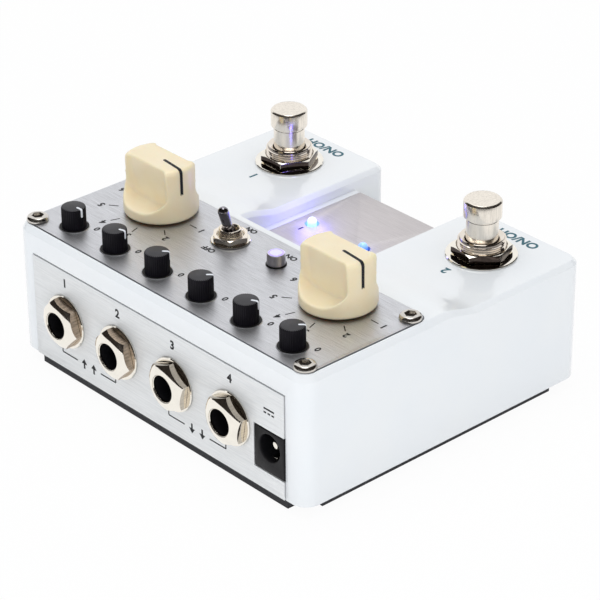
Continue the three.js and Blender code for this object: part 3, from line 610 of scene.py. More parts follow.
def shell_form():
    low, behind, ahead = -10, REAR + FAR, FRONT - FAR
    view = [(behind, DECK), *top_line(), (ahead, POD), (ahead, low), (behind, low)]
    shell = across("shell", view, HALF_NOTCH, SIDE, CHAMFER)
    other = across("other_pod", view, -SIDE, -HALF_NOTCH, CHAMFER)
    lip = [
        (behind, low), (behind, DECK), (LIP + 0.9, DECK), (LIP, DECK - 0.9), (LIP, FLOOR),
        (FLOOR_FRONT, FLOOR), (FLOOR_FRONT, low),
    ]
    middle = across("middle", lip, -HALF_NOTCH - 1.4, HALF_NOTCH + 1.4)
    carve(settle(shell), other, middle, operation="UNION")
    plan = prism("plan", rounded(-SIDE, SIDE, FRONT, REAR, (CORNER,) * 4, 12), low, DECK, 1, 1.6)
    kept = block("kept", -SIDE - 1, SIDE + 1, RAMP_FRONT - 6, REAR + 1, low, DECK + 1)
    right = rounded(HALF_NOTCH, SIDE, FRONT, 0, (CORNER, *(INNER_CORNER,) * 3), 12)
    left = rounded(-SIDE, -HALF_NOTCH, FRONT, 0, (*(INNER_CORNER,) * 3, CORNER), 12)
    pods = [prism("pod", outline, low, POD, CHAMFER, CHAMFER) for outline in (right, left)]
    web = block("web", -HALF_NOTCH - 1, HALF_NOTCH + 1, FLOOR_FRONT, 0, low, FLOOR)
    carve(settle(kept), *pods, web, operation="UNION")
    carve(shell, plan, kept, operation="INTERSECT")
    carve(shell, block("below", -60, 60, -60, 60, -30, BASE))
    return round_edges(shell, 0.32, 3, 20)


def shell_cuts():
    """The seats of the plates, the hollow under each level, and the holes."""
    high, low, behind = DECK + FAR, -FAR, REAR + FAR
    side, front, rear, under = SIDE - WALL, FRONT + WALL, REAR - WALL, LIP + 2 * WALL
    notch, jack_side, centre_side = HALF_NOTCH + WALL, JACK_PLATE_SIDE + FIT, CENTRE_SIDE + FIT
    inside, under_deck, under_pod, under_floor = 40.9, 33, 31.6, 28
    seats = [
        prism("deck_seat", plate_outline(FIT), DECK - 1.2, high),
        block("rear_seat", -jack_side, jack_side, REAR - 1.2, behind, low, JACK_PLATE_TOP + FIT),
        block("floor_seat", -centre_side, centre_side, FLOOR_FRONT - FAR, CENTRE_REAR + FIT,
              CENTRE_LOW - FIT, FLOOR + FIT),
    ]
    hollows = [
        block("hollow_deck", -side, side, LIP + WALL, rear, low, under_deck),
        block("hollow_pod_1", notch, side, front, under, low, under_pod),
        block("hollow_pod_2", -side, -notch, front, under, low, under_pod),
        block("hollow_floor", -21, 21, FLOOR_FRONT + WALL, under, low, under_floor),
    ]
    window = block("inlet_window", -jack_side, WINDOW_SIDE, inside, behind, WINDOW_LOW, WINDOW_TOP)
    places = KNOB_HOLES + STOMP_HOLES + LAMP_HOLES + SWITCH_HOLES
    return [*seats, *hollows, window, *holes(places, 25, high, 24), *jack_holes(inside, behind, 32)]


shell = carve(shell_form(), *shell_cuts())
round_edges(shell, 0.1, 2, 62)
settle(shell, 40)
dress(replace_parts(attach(shell, "pedal"), "housing"), PEARL)
print("shell:", len(shell.data.polygons), "faces")

# %% [markdown]
# ## Geometry Nodes recipes
# Threads, ribs, ticks and rows of screws follow a rule, so they are grown by Geometry Nodes. Each
# recipe is a tree with named sizes in millimetres. Cooking it gives a plain mesh and drops the tree.

# %% A recipe with named sizes
WHOLE_SIZES = ("Ribs", "Count")


class Recipe(Tree):
    """A Geometry Nodes tree. Its sizes are group inputs, and it ends in a realised, dressed mesh."""

    def __init__(self, name, **sizes):
        self.group = bpy.data.node_groups.new(name, "GeometryNodeTree")
        super().__init__(self.group)
        face = self.group.interface
        for way in ("INPUT", "OUTPUT"):
            face.new_socket("Geometry", in_out=way, socket_type="NodeSocketGeometry")
        self.values = {}
        for size, value in sizes.items():
            whole = size in WHOLE_SIZES
            kind = "NodeSocketInt" if whole else "NodeSocketFloat"
            socket = face.new_socket(size, in_out="INPUT", socket_type=kind)
            self.values[socket.identifier] = value if whole else float(value)
        self.given = self.nodes.new("NodeGroupInput")
        self.result = self.nodes.new("NodeGroupOutput")

    def size(self, name):
        return Wire(self, self.given.outputs[name])

    def vector(self, x=0.0, y=0.0, z=0.0):
        return self.add("ShaderNodeCombineXYZ", None, {0: x, 1: y, 2: z})

    def parts(self, vector):
        node = self.nodes.new("ShaderNodeSeparateXYZ")
        self.links.new(vector.socket, node.inputs[0])
        return [Wire(self, socket) for socket in node.outputs]

    def placed(self, geometry, **changes):
        """Moves or scales geometry: changes are the Transform node's own inputs."""
        return self.add("GeometryNodeTransform", None, {"Geometry": geometry, **changes})

    def on_each(self, points, geometry, angle):
        """A copy on each point, turned about Z."""
        way = self.add("FunctionNodeAxisAngleToRotation", None, {0: (0, 0, 1), 1: angle})
        inputs = {"Points": points, "Instance": geometry, "Rotation": way}
        return self.add("GeometryNodeInstanceOnPoints", None, inputs)

    def cook(self, name, geometry, finish, points=((0, 0, 0),)):
        """Runs the tree on a few loose points and keeps the mesh that comes out."""
        whole = self.add("GeometryNodeRealizeInstances", None, {0: geometry})
        metres = self.placed(whole, Scale=(MM, MM, MM))
        dressed = self.add("GeometryNodeSetMaterial", None, {0: metres, 2: finish.material})
        self.links.new(dressed.socket, self.result.inputs[0])
        mesh = bpy.data.meshes.new(name)
        mesh.from_pydata([Vector(p) for p in points], [], [])
        piece = added(name, mesh)
        grow = piece.modifiers.new("recipe", "NODES")
        grow.node_group = self.group
        for identifier, value in self.values.items():
            grow[identifier] = value
        return freeze(piece)


print("recipe helper ready")

# %% [markdown]
# A screw thread is a small triangle swept along a helix. Rings would look the same from far away,
# but up close the helix is what lets the highlights run on from turn to turn.

# %% Threads
def thread(name, radius, z0, z1, pitch, finish):
    """A helix of triangular section round the Z axis."""
    height = z1 - z0
    recipe = Recipe("thread", Radius=radius, Turns=height / pitch, Height=height, Pitch=pitch)
    path = recipe.add("GeometryNodeCurveSpiral", None, {
        "Resolution": 40, "Rotations": recipe.size("Turns"), "Start Radius": recipe.size("Radius"),
        "End Radius": recipe.size("Radius"), "Height": recipe.size("Height"),
    })
    section = recipe.add("GeometryNodeCurvePrimitiveCircle", None, {0: 3, 4: recipe.size("Pitch") * 0.5})
    swept = {"Curve": path, "Profile Curve": section, "Fill Caps": True}
    ridge = recipe.add("GeometryNodeCurveToMesh", None, swept)
    return settle(recipe.cook(name, recipe.placed(ridge, Translation=(0, 0, z0)), finish), 50)


print("thread recipe ready")

# %% Frame calls and finishes that every piece needs
def adopt(piece, body, slot, *nodes):
    """The frame calls that every piece needs: its body and the nodes it stands for. The slot is not used."""
    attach(piece, body)
    if nodes:
        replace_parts(piece, *nodes)
    return piece


def show(piece, finish, body, slot, *nodes, sharp_deg=32):
    """Settles and dresses a piece and makes its frame calls."""
    return adopt(dress(settle(piece, sharp_deg), finish), body, slot, *nodes)


def second_finish(piece, finish, chosen):
    """Gives the chosen faces of a dressed piece a second finish."""
    piece.data.materials.append(finish.material)
    for face in piece.data.polygons:
        face.material_index = int(chosen(face))


def flats_along(axis):
    """Chooses the flats of a nut: its only large faces that run along its axis."""
    smallest = 1.5 * MM * MM
    return lambda face: abs(face.normal[axis]) < 0.05 and face.area > smallest


print("frame calls ready")

# %% [markdown]
# ## Plates
# Three stamped and brushed plates lie in shallow seats. A stamped hole has a faintly rolled edge, so
# each plate is cut first and its edges are rounded a tenth of a millimetre afterwards.

# %% Control plate, jack plate and centre plate
def control_plate():
    plate = prism("control_plate_sheet", plate_outline(), SEAT - 1.1, SEAT)
    return carve(plate, *holes(KNOB_HOLES + SWITCH_HOLES, SEAT - 3, SEAT + 3, 40))


def jack_plate():
    sides = (-JACK_PLATE_SIDE, JACK_PLATE_SIDE)
    plate = block("jack_plate_sheet", *sides, REAR - 0.9, JACK_PLATE_FACE, BASE, JACK_PLATE_TOP)
    window = block("window", -46, WINDOW_SIDE, 40, 50, WINDOW_LOW, WINDOW_TOP)
    return carve(plate, window, *jack_holes(40, 50, 48))


def centre_plate():
    outline = rounded(-CENTRE_SIDE, CENTRE_SIDE, -32.9, CENTRE_REAR, (0.5,) * 4, 4)
    plate = prism("centre_plate_sheet", outline, CENTRE_LOW, CENTRE_TOP)
    return carve(plate, *holes(LAMP_HOLES, 28, 34, 40))


def rolled(plate):
    return round_edges(plate, 0.12, 2, 40)


show(rolled(control_plate()), DECK_STEEL, "pedal", "brushed_deck", "control_plate")
show(rolled(jack_plate()), REAR_STEEL, "pedal", "brushed_rear", "jack_plate")
show(rolled(centre_plate()), CENTRE_STEEL, "pedal", "brushed_centre", "centre_plate")
print("plates: 3")

# %% [markdown]
# ## Screws
# Four button-head screws with hexagon sockets hold the control plate. One is turned and cut, and
# Geometry Nodes puts a copy at each corner, turned by a different amount as a hand would leave it.

# %% Panel screws
def button_head():
    head = turned("button_head", [
        (0, -4), (1.45, -4), (1.45, 0), (2.62, 0), (2.68, 0.06), (2.68, 0.16),
        *oval(1.85, 0.16, 0.83, 1.0, 0, 81, 9), (1.7, 1.18), (0, 1.18),
    ], 64)
    socket = turned("socket", [(0, 0.2), (1.45, 0.4), (1.45, 1.08), (1.6, 1.3), (0, 1.3)], 6)
    return settle(carve(settle(head), socket), 28)


def screws_at(name, model, places, finish, turn_step):
    """Copies one screw to every place. The copies are turned by a growing angle."""
    recipe = Recipe("screws", Turn=turn_step)
    info = recipe.nodes.new("GeometryNodeObjectInfo")
    info.inputs[0].default_value = model
    large = recipe.placed(Wire(recipe, info.outputs["Geometry"]), Scale=(1 / MM,) * 3)
    angle = recipe.add("GeometryNodeInputIndex") * recipe.size("Turn")
    points = recipe.add("GeometryNodeMeshToPoints", None, {0: Wire(recipe, recipe.given.outputs[0])})
    piece = recipe.cook(name, recipe.on_each(points, large, angle), finish, places)
    bpy.data.objects.remove(model)
    return piece


screw_seats = [(*spot, SEAT + 0.06) for spot in SCREWS]
panel_screws = screws_at("button_head_screws", button_head(), screw_seats, BUTTON_STEEL, 0.9)
adopt(panel_screws, "pedal", "screw_steel", *(f"panel_screw_{i}" for i in (1, 2, 3, 4)))
print("button-head screws:", len(SCREWS))

# %% [markdown]
# ## Small knobs
# Six ribbed pointer knobs stand in a row. A knob like this is moulded, with ribs that fade into a
# rounded top. The ribs follow a cosine round the grip, so Geometry Nodes shapes a plain cylinder
# with that rule. The thin skirt below is turned, and so is the bright rim of the hole round it.

# %% The ribbed grip
def ribbed_grip(name, radius, z0, z1, ribs, depth, curve):
    recipe = Recipe("ribbed_grip", Radius=radius, Height=z1 - z0, Ribs=ribs, Depth=depth, Curve=curve)
    r, h, c = recipe.size("Radius"), recipe.size("Height"), recipe.size("Curve")
    columns = {"Vertices": recipe.size("Ribs") * 8, "Side Segments": 26, "Radius": r, "Depth": h}
    blank = recipe.add("GeometryNodeMeshCylinder", {"fill_type": "NGON"}, columns)
    x, y, z = recipe.parts(recipe.add("GeometryNodeInputPosition"))
    phase = y.maths("ARCTAN2", y, x) * recipe.size("Ribs")
    wave = phase.maths("COSINE", phase) * 0.5 + 0.5
    valley = (1 - wave) * recipe.size("Depth")
    top_share = (z - (h * 0.5 - c)) / c
    t = top_share.between(0, 1) * (math.pi / 2)
    cosine = t.maths("COSINE", t)
    out = (r - valley * cosine - c * (1 - cosine)) / r
    rise = (t > 0) * (h * 0.5 - c + c * t.maths("SINE", t) - z)
    spot = recipe.vector(x * out, y * out, z + rise)
    shaped = recipe.add("GeometryNodeSetPosition", None, {"Geometry": blank, "Position": spot})
    middle = (0, 0, (z0 + z1) / 2)
    return recipe.cook(name, recipe.placed(shaped, Translation=middle), KNOB_BLACK)


print("grip recipe ready")

# %% A painted line that follows a profile
def ribbon(name, path, width, thick, turn_deg):
    """A painted line with round ends that follows a path of (distance out, height)."""
    spots = [Vector((r, 0, z)) for r, z in path]
    lengths = [0.0]
    for a, b in zip(spots, spots[1:]):
        lengths.append(lengths[-1] + (b - a).length)
    rows = []
    for i, spot in enumerate(spots):
        along = (spots[min(i + 1, len(spots) - 1)] - spots[max(i - 1, 0)]).normalized()
        outward = Vector((-along.z, 0, along.x))
        near_end = min(lengths[i], lengths[-1] - lengths[i], width / 2) / (width / 2)
        half = width / 2 * math.sqrt(max(1 - (1 - near_end) ** 2, 0.02))
        side, top = Vector((0, half, 0)), outward * thick
        rows.append([spot - side, spot + side, spot + side + top, spot - side + top])
    return move(loft(name, rows), turn=turn_about("Z", turn_deg))


def bend(points, radius):
    """Walks a path of (r, z) corner points in small steps and rounds each inner corner."""
    spots = [Vector(p) for p in points]
    step_mm, shares = 0.12, [k / 8 for k in range(9)]
    path = [spots[0]]
    for before, spot, after in zip(spots, spots[1:], spots[2:]):
        start = spot + (before - spot).normalized() * radius
        end = spot + (after - spot).normalized() * radius
        path += [(1 - t) ** 2 * start + 2 * t * (1 - t) * spot + t * t * end for t in shares]
    path.append(spots[-1])
    fine = []
    for a, b in zip(path, path[1:]):
        parts = max(1, math.ceil((b - a).length / step_mm))
        fine += [tuple(a + (b - a) * (k / parts)) for k in range(parts)]
    return fine + [tuple(path[-1])]


print("painted lines ready")

# %% Six small knobs
POINTER_DEG = (183, 198, 223, 228, 208, 226)


def trim_knob(number, x, y, pointer_deg):
    body, node, place = f"trim_{number}", f"trim_knob_{number}", (x, y, SEAT)
    sizes = {"radius": 2.95, "z0": 0.15, "z1": 5.4, "ribs": 36, "depth": 0.09, "curve": 0.42}
    grip = ribbed_grip(f"knob_grip_{number}", **sizes)
    skirt = turned(f"knob_skirt_{number}", [
        (0, 0.03), (3.5, 0.03), (3.56, 0.06), (3.54, 0.1), (3.46, 0.12), (2.9, 0.12), (2.86, 0.2),
        (2.8, 1.2), (0, 1.2),
    ], 72)
    rim = turned(f"knob_hole_rim_{number}", [
        (3.6, 0), (3.74, 0), (3.7, 0.05), (3.64, 0.14), (3.6, 0.14),
    ], 72, closed=True)
    shaft = turned(f"knob_shaft_{number}", [(0, -7), (1.5, -7), (1.5, 0.5), (0, 0.5)], 24)
    top = bend([(1.2, 5.4), (2.92, 5.4), (2.92, 3.3)], 0.5)
    line = ribbon(f"knob_pointer_{number}", top, width=0.55, thick=0.06, turn_deg=pointer_deg)
    show(move(grip, *place), KNOB_BLACK, body, "black_plastic", node)
    second_finish(grip, KNOB_TOP, lambda face: face.normal.z > 0.9)
    show(move(skirt, *place), INLET_BLACK, body, "black_plastic", node)
    show(move(rim, *place), DECK_STEEL, "pedal", "brushed_deck", "control_plate")
    second_finish(rim, NICKEL, lambda face: abs(face.normal.z) < 0.3)
    show(move(shaft, *place), CAN_STEEL, body, "can_steel", node)
    show(move(line, *place), PRINT_WHITE, body, None, node)


for number, (place, pointer_deg) in enumerate(zip(TRIMS, POINTER_DEG), 1):
    trim_knob(number, *place, pointer_deg)
print("small knobs:", len(TRIMS))

# %% [markdown]
# ## Cream selector knobs
# Each large knob is a drum with two scooped pockets that leave a fin for the fingers. Hard-surface
# modelling of those soft blends is slow work. Cutting the pockets crisply, remeshing the result in
# fine voxels and relaxing it gives the melted edges of a moulding in one go.

# %% The scooped drum
def pocket(turn_deg):
    """A flared scoop with rounded lower corners, leaning with the fin."""
    rows = []
    for z, wider in ((-12, -0.6), (26, 1.3)):
        half = [(5.4 + wider, 0), (7.9 + wider, 1.2), (19.9 + wider, 12)]
        rows.append(level([*half, *[(-x, y) for x, y in reversed(half)]], z))
    scoop = loft("scoop", rows)
    front_view = rounded(-7.9, 7.9, 0, 24, (4.6, 1, 1, 4.6), 14)
    tall = loft("tall", [[(x, y, z) for x, z in front_view] for y in (13, -0.3)])
    carve(settle(scoop), tall, operation="INTERSECT")
    move(scoop, turn=turn_about("X", -5.5))
    move(scoop, 0, 3, 3.7)
    return move(scoop, turn=turn_about("Z", turn_deg))


def selector_knob(number, x, y):
    body, node, place = f"selector_{number}", f"selector_knob_{number}", (x, y, SEAT)
    reach, top, curve = 8.9, 14.05, 1.05
    crown = arc(reach - curve, top - curve, curve, 0, 90, 6)[1:]
    profile = [(0, 0.5), (reach, 0.5), (9.1, 0.7), (reach, 13.2), *crown, (0, top)]
    drum = turned(f"selector_drum_{number}", profile, 96)
    carve(settle(drum), pocket(0), pocket(180))
    voxel = drum.modifiers.new("voxels", "REMESH")
    voxel.mode = "VOXEL"
    voxel.voxel_size = 0.25 * MM
    relax = drum.modifiers.new("relax", "SMOOTH")
    relax.iterations, relax.factor = 15, 0.5
    path = bend([(1.7, 14.01), (8.86, 14.01), (8.92, 7.3)], 1.15)
    line = ribbon(f"selector_line_{number}", path, width=0.8, thick=0.06, turn_deg=174.5)
    shaft = turned(f"selector_shaft_{number}", [(0, -8), (3, -8), (3, 1), (0, 1)], 32)
    show(move(freeze(drum), *place), CREAM, body, "cream_plastic", node, sharp_deg=180)
    show(move(line, *place), PRINT_BLACK, body, None, node)
    show(move(shaft, *place), CAN_STEEL, body, "can_steel", node)


for number, place in enumerate(SELECTORS, 1):
    selector_knob(number, *place)
print("selector knobs:", len(SELECTORS))

# %% [markdown]
# ## Nuts and washers
# Every panel nut is a hexagon bar with its corners turned off on a lathe. Intersecting the two
# forms is exactly how the real bright crescent on each corner comes about.

# %% Hexagon nut and washer
def hexagon(name, radius, z0, z1, turn_deg):
    return settle(move(rod(name, radius, z0, z1, 6), turn=turn_about("Z", turn_deg)))


def hex_nut(name, radius, bore, z0, z1, drop, turn_deg, bevel):
    """A hexagon whose corners are turned off at both ends, down to a round face."""
    face = radius * 0.9
    lathe = turned("lathe", [
        (0, z0), (face, z0), (radius, z0 + drop), (radius, z1 - drop), (face, z1), (0, z1),
    ], 96)
    lead = turned("lead", [
        (0, z0 - 1), (bore, z0 - 1), (bore, z1 - 0.25), (bore + 0.5, z1 + 0.25), (0, z1 + 0.25),
    ], 64)
    nut = carve(hexagon(name, radius, z0, z1, turn_deg), lathe, operation="INTERSECT")
    return round_edges(carve(nut, lead), bevel, 3, 16)


def ring(name, radius, bore, z0, thick):
    """A flat washer whose outer edge is rounded."""
    top = z0 + thick
    return turned(name, [
        (bore, z0), (radius - 0.25, z0), (radius - 0.05, z0 + 0.05), (radius, z0 + thick * 0.5),
        (radius - 0.12, top - 0.02), (radius - 0.3, top), (bore + 0.3, top), (bore, top - 0.1),
    ], 96, closed=True)


print("hardware helpers ready")

# %% [markdown]
# ## Footswitches
# A footswitch is a plunger in a threaded collar. A nut on a washer clamps the collar to the pod.
# The cap is pressed on the neck, which leaves a thin seam below it.

# %% Two footswitches
STOMP_NUT_DEG = (60, 51)


def footswitch(number, x, y):
    switch, place, rise = f"footswitch_body_{number}", (x, y, POD), 14.5
    cap = turned(f"stomp_cap_{number}", [
        (0, 10.2), (3.9, 10.2), (4.4, 10.1), (4.52, 10.18), (4.55, 10.35), (4.55, rise - 0.46),
        (4.52, rise - 0.4), (4.17, rise - 0.05), (4.08, rise), (3.6, rise), (0, rise),
    ], 96)
    neck = turned(f"stomp_neck_{number}", [
        (0, -6.9), (5, -6.9), (5, -5.3), (3.85, -5.3), (3.85, 9.45), (3.78, 9.55), (3.78, 9.7),
        (3.95, 9.8), (3.95, 10.2), (0, 10.2),
    ], 96)
    collar = turned(f"stomp_collar_{number}", [
        (4.1, -10), (5.4, -10), (5.4, 4.5), (5.24, 4.88), (5.14, 4.94), (4.98, 4.9), (4.12, 4.3),
        (4.04, 4.1), (4.1, 3.2),
    ], 96, closed=True)
    can = block(f"stomp_can_{number}", -8, 8, -8, 8, -16.8, -2.9)
    carve(settle(can), rod("bore", 5.3, -14.8, 5, 48))
    ridge = thread(f"stomp_thread_{number}", radius=5.46, z0=-2.6, z1=4.5, pitch=0.57, finish=NICKEL_UPRIGHT_REFLECTION)
    nut = hex_nut(f"stomp_nut_{number}", radius=7.25, bore=5.85, z0=0.62, z1=2.6, drop=0.34,
                  turn_deg=STOMP_NUT_DEG[number - 1], bevel=0.24)
    washer = ring(f"stomp_washer_{number}", radius=8.55, bore=5.95, z0=0.1, thick=0.46)
    plunger = move(merge(f"stomp_plunger_{number}", [cap, neck]), *place)
    show(plunger, CAP_NICKEL, f"stomp_{number}", "nickel", f"footswitch_plunger_{number}")
    show(move(collar, *place), NICKEL_UPRIGHT_REFLECTION, "pedal", "nickel", switch)
    show(move(ridge, *place), NICKEL_UPRIGHT_REFLECTION, "pedal", "nickel", switch, sharp_deg=50)
    show(move(round_edges(can, 0.3, 2), *place), CAN_STEEL, "pedal", "nickel", switch)
    show(move(nut, *place), NICKEL, "pedal", "nickel", f"footswitch_nut_{number}", sharp_deg=20)
    # The nut's flats get the painted dark reflection.
    second_finish(nut, STOMP_NUT_REFLECTION, flats_along(2))
    show(move(washer, *place), NICKEL, "pedal", "nickel", f"footswitch_washer_{number}")


for number, place in enumerate(STOMPS, 1):
    footswitch(number, *place)
print("footswitches:", len(STOMPS))

# %% [markdown]
# ## Toggle switch
# The bat lever leans to the rear. It is turned as one form with its ball, and the bushing around
# it is threaded for the nut.

# %% Toggle lever, bushing, nut and washer
def toggle_switch(x, y):
    place = (x, y, SEAT)
    lever = turned("toggle_bat", [
        (0, -1.5), *arc(0, 0, 1.5, -80, 52, 11), (0.85, 1.35), (1.0, 2.2), (1.14, 3.2), (1.2, 5.0),
        (1.28, 7.5), *oval(0, 7.5, 1.28, 1.3, 12, 84, 6), (0, 8.8),
    ], 48)
    move(lever, x, y, SEAT + 1, turn_about("X", -16))
    bushing = turned("toggle_bushing", [
        (1.85, -0.8), (1.85, 2.7), (2.0, 3.1), (2.2, 3.27), (2.45, 3.27), (2.68, 3.1), (2.8, 2.9),
        (2.8, -9), (1.85, -9),
    ], 64, closed=True)
    can = block("toggle_can", -3.5, 3.5, -5, 5, -10, -3.9)
    ridge = thread("toggle_thread", radius=2.82, z0=-2.4, z1=3.0, pitch=0.36, finish=NICKEL)
    nut = hex_nut("toggle_hex", radius=4.58, bore=3.1, z0=0.56, z1=1.95, drop=0.26, turn_deg=18, bevel=0.14)
    washer = ring("toggle_disc", radius=4.78, bore=3.1, z0=0.1, thick=0.4)
    show(lever, DARK_NICKEL, "toggle", "dark_nickel", "toggle_lever")
    show(move(bushing, *place), SOFT_NICKEL, "pedal", "nickel", "toggle_body")
    show(move(ridge, *place), SOFT_NICKEL, "pedal", "nickel", "toggle_body", sharp_deg=50)
    show(move(round_edges(can, 0.2, 2), *place), CAN_STEEL, "pedal", "dark_nickel", "toggle_body")
    show(move(nut, *place), SOFT_NICKEL, "pedal", "nickel", "toggle_nut", sharp_deg=20)
    show(move(washer, *place), NICKEL, "pedal", "nickel", "toggle_washer")


toggle_switch(*TOGGLE)
print("toggle switch ready")

# %% [markdown]
# ## Push button and lamps
# The button is a silver cap in a dark well, with a ring that lets violet light through. The two
# lamps are small domes. Their glow is emission on the piece itself, weak enough to leave the colour
# in it.

# %% Push button, two lamps
def push_button(x, y):
    cap = turned("button_cap", [
        (0, -6.9), (1.2, -6.9), (1.2, -5.8), (2.7, -5.8), (2.7, -4.0), (2.2, -4.0), (2.2, 2.65),
        (2.14, 2.88), (2.0, 3.0), (0, 3.0),
    ], 72)
    lens = turned("button_lens", [(0, 2.9), (1.5, 2.9), (1.5, 3.05), (1.4, 3.12), (0, 3.16)], 72)
    halo = turned("button_ring", [
        (1.52, 2.9), (1.8, 2.9), (1.8, 3.02), (1.74, 3.08), (1.66, 3.1), (1.58, 3.08), (1.52, 3.02),
    ], 72, closed=True)
    well = turned("button_well", [
        (2.22, -1.6), (2.46, -1.6), (2.46, 0.24), (2.4, 0.32), (2.22, 0.32),
    ], 72, closed=True)
    place = (x, y, SEAT)
    show(move(cap, *place), SILVER, "button", "silver_cap", "push_button")
    # The centre lens glows faintly: painted violet light from the ring.
    show(move(lens, *place), BUTTON_TOP_PAINTED_GLOW, "button", "lamp_lens", "push_button")
    show(move(halo, *place), LAMP_VIOLET, "button", "lamp_lens", "push_button")
    show(move(well, *place), INLET_BLACK, "pedal", "black_plastic")


def lamp_dome(number, x, y, finish):
    """A small dome on a foot that is held under the plate."""
    lens = turned(f"lamp_dome_{number}", [
        (0, -4.2), (2.2, -4.2), (2.2, -3.2), (1.15, -3.2), *oval(0, 0.95, 1.15, 1.1, 0, 81, 9),
        (0, 2.05),
    ], 48)
    show(move(lens, x, y, FLOOR), finish, "pedal", "lamp_lens", f"led_{number}")


push_button(*BUTTON)
for number, (place, finish) in enumerate(zip(LAMPS, (LAMP_BRIGHT, LAMP_DIM)), 1):
    lamp_dome(number, *place, finish)
print("button and lamps ready")

# %% [markdown]
# ## Jacks and power inlet
# A quarter-inch jack shows three things outside: a washer, a strongly domed nut and the end of its
# nose. All are turned upright and then laid over to the rear. Its bore stays open, because the
# dark round hole is the strongest mark of the rear face.

# %% Four jacks
JACK_NUT_DEG = (47, 45, 20, 21)


def domed_nut(name, turn_deg):
    """A nut whose crown runs in one curve from the flats to the bore."""
    crown = turned("crown", [
        (0, 0), (6.35, 0), (6.35, 2.1), (6.0, 2.48), (5.6, 2.8), (5.1, 3.08), (4.6, 3.3), (4.1, 3.46),
        (3.7, 3.55), (3.5, 3.58), (0, 3.58),
    ], 96)
    nut = carve(hexagon(name, 6.35, 0.85, 3.7, turn_deg), crown, operation="INTERSECT")
    return round_edges(carve(nut, rod("bore", 3.5, 0, 5, 96)), 0.1, 2, 26)


def jack(number, x):
    body, lay = f"jack_body_{number}", (x, REAR, JACK_Z, TO_REAR)
    nose = turned(f"jack_nose_{number}", [
        (3.22, 2.9), (3.46, 2.9), (3.46, 3.45), (3.42, 3.5), (3.34, 3.5), (3.26, 3.42), (3.22, 3.3),
    ], 96, closed=True)
    liner = turned(f"jack_liner_{number}", [
        (3.18, -3.1), (4.4, -3.1), (4.4, 0.3), (3.44, 0.3), (3.44, 2.85), (3.2, 2.85), (3.18, 2.7),
    ], 64, closed=True)
    case = block(f"jack_case_{number}", -7.9, 7.9, -8, 8.5, -26.8, -3.1)
    carve(settle(case), rod("bore", 3.25, -22.4, 0, 48))
    nut = domed_nut(f"jack_hex_{number}", JACK_NUT_DEG[number - 1])
    washer = ring(f"jack_disc_{number}", radius=6.75, bore=5.0, z0=0.25, thick=0.55)
    show(move(nose, *lay), NICKEL, "pedal", "nickel", body)
    show(move(liner, *lay), INLET_BLACK, "pedal", "nickel", body)
    show(move(round_edges(case, 0.4, 2), *lay), INLET_BLACK, "pedal", "nickel", body)
    show(move(nut, *lay), NICKEL, "pedal", "nickel", f"jack_nut_{number}", sharp_deg=20)
    # The flats get a painted reflection: brown on jacks 1 and 2, beige on jacks 3 and 4.
    second_finish(nut, BROWN_JACK_REFLECTION if number < 3 else BEIGE_JACK_REFLECTION, flats_along(1))
    show(move(washer, *lay), NICKEL, "pedal", "nickel", f"jack_washer_{number}")


for number, x in enumerate(JACKS, 1):
    jack(number, x)
print("jacks:", len(JACKS))

# %% Power inlet
def power_inlet():
    face, x, z = JACK_PLATE_FACE, -39.65, 14.3
    case = block("inlet_case", -44.5, -34.8, face - 13.6, face, 7.9, 18.6)
    mouth = [(0, 0), (3.3, 0), (3.3, 9.2), (3.6, 9.6), (0, 9.6)]
    carve(settle(case), move(turned("mouth", mouth, 64), x, face - 9.5, z, TO_REAR))
    pin = turned("inlet_pin", [(0, 0), (1.05, 0), (1.05, 7.6), (0.85, 7.95), (0.45, 8.1), (0, 8.1)], 40)
    spring = block("inlet_spring", x - 0.9, x + 0.9, face - 9.4, face - 1.6, z - 3.25, z - 2.95)
    show(round_edges(case, 0.35, 3), INLET_BLACK, "pedal", "inlet_plastic", "power_inlet")
    show(move(pin, x, face - 9.6, z, TO_REAR), NICKEL, "pedal", "inlet_plastic", "power_inlet")
    show(round_edges(spring, 0.08, 2), NICKEL, "pedal", "inlet_plastic", "power_inlet")


power_inlet()
print("power inlet ready")

# %% [markdown]
# ## Mat, base and the works inside
# The rubber mat shows as a dark strip under the shell. The pieces inside are seen only through the
# holes, so their construction solids stay and just get better finishes.

# %% Rubber mat and inner pieces
def notched_mat(half, y0, y1, cut_x, cut_y, half_notch, notch_y):
    """A rectangle with square corner cuts and a notch in its front, counter-clockwise."""
    narrow = half - cut_x
    right = [
        (half_notch, notch_y), (half_notch, y0), (narrow, y0), (narrow, y0 + cut_y), (half, y0 + cut_y),
        (half, y1 - cut_y), (narrow, y1 - cut_y), (narrow, y1),
    ]
    return [*right, *[(-x, y) for x, y in reversed(right)]]


MAT = {"half": 48.6, "y0": -42.9, "y1": 42.9, "cut_x": 4.4, "cut_y": 6.3, "half_notch": 17.9, "notch_y": -31}
mat = prism("mat_pad", notched_mat(**MAT), 0, 2.7)
WELLS = [(side * 44, y, 3) for side in (1, -1) for y in (22, -37.8)]
carve(settle(mat), *holes(WELLS, -1, 4, 32))
show(round_edges(mat, 0.35, 3, 50), RUBBER, "pedal", "rubber", "rubber_mat")

INNER = {
    "base_plate": BASE_PAINT, "circuit_board": BOARD, "button_switch": INLET_BLACK,
    "base_screw": CAN_STEEL, "potentiometer": CAN_STEEL, "selector_switch": CAN_STEEL,
}
inner = {name: INNER.get(name.rstrip("_0123456789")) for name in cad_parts}
for name, finish in inner.items():
    if finish:
        dress(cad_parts[name], finish)
print("inner solids dressed:", sum(finish is not None for finish in inner.values()))

# %% [markdown]
# ## Print
# The panel print is generic: numbers, ON and OFF, ticks, arrows and a plain mark for direct
# current. Real print is a film a few hundredths of a millimetre thick, so each word is a curve
# turned into a mesh of that thickness and laid on the metal.

# %% Words and lines
INK = 0.03
BOLD = 0.035
UP = Matrix.Identity(3)
REAR_UP = Matrix(((-1, 0, 0), (0, 0, 1), (0, 1, 0)))


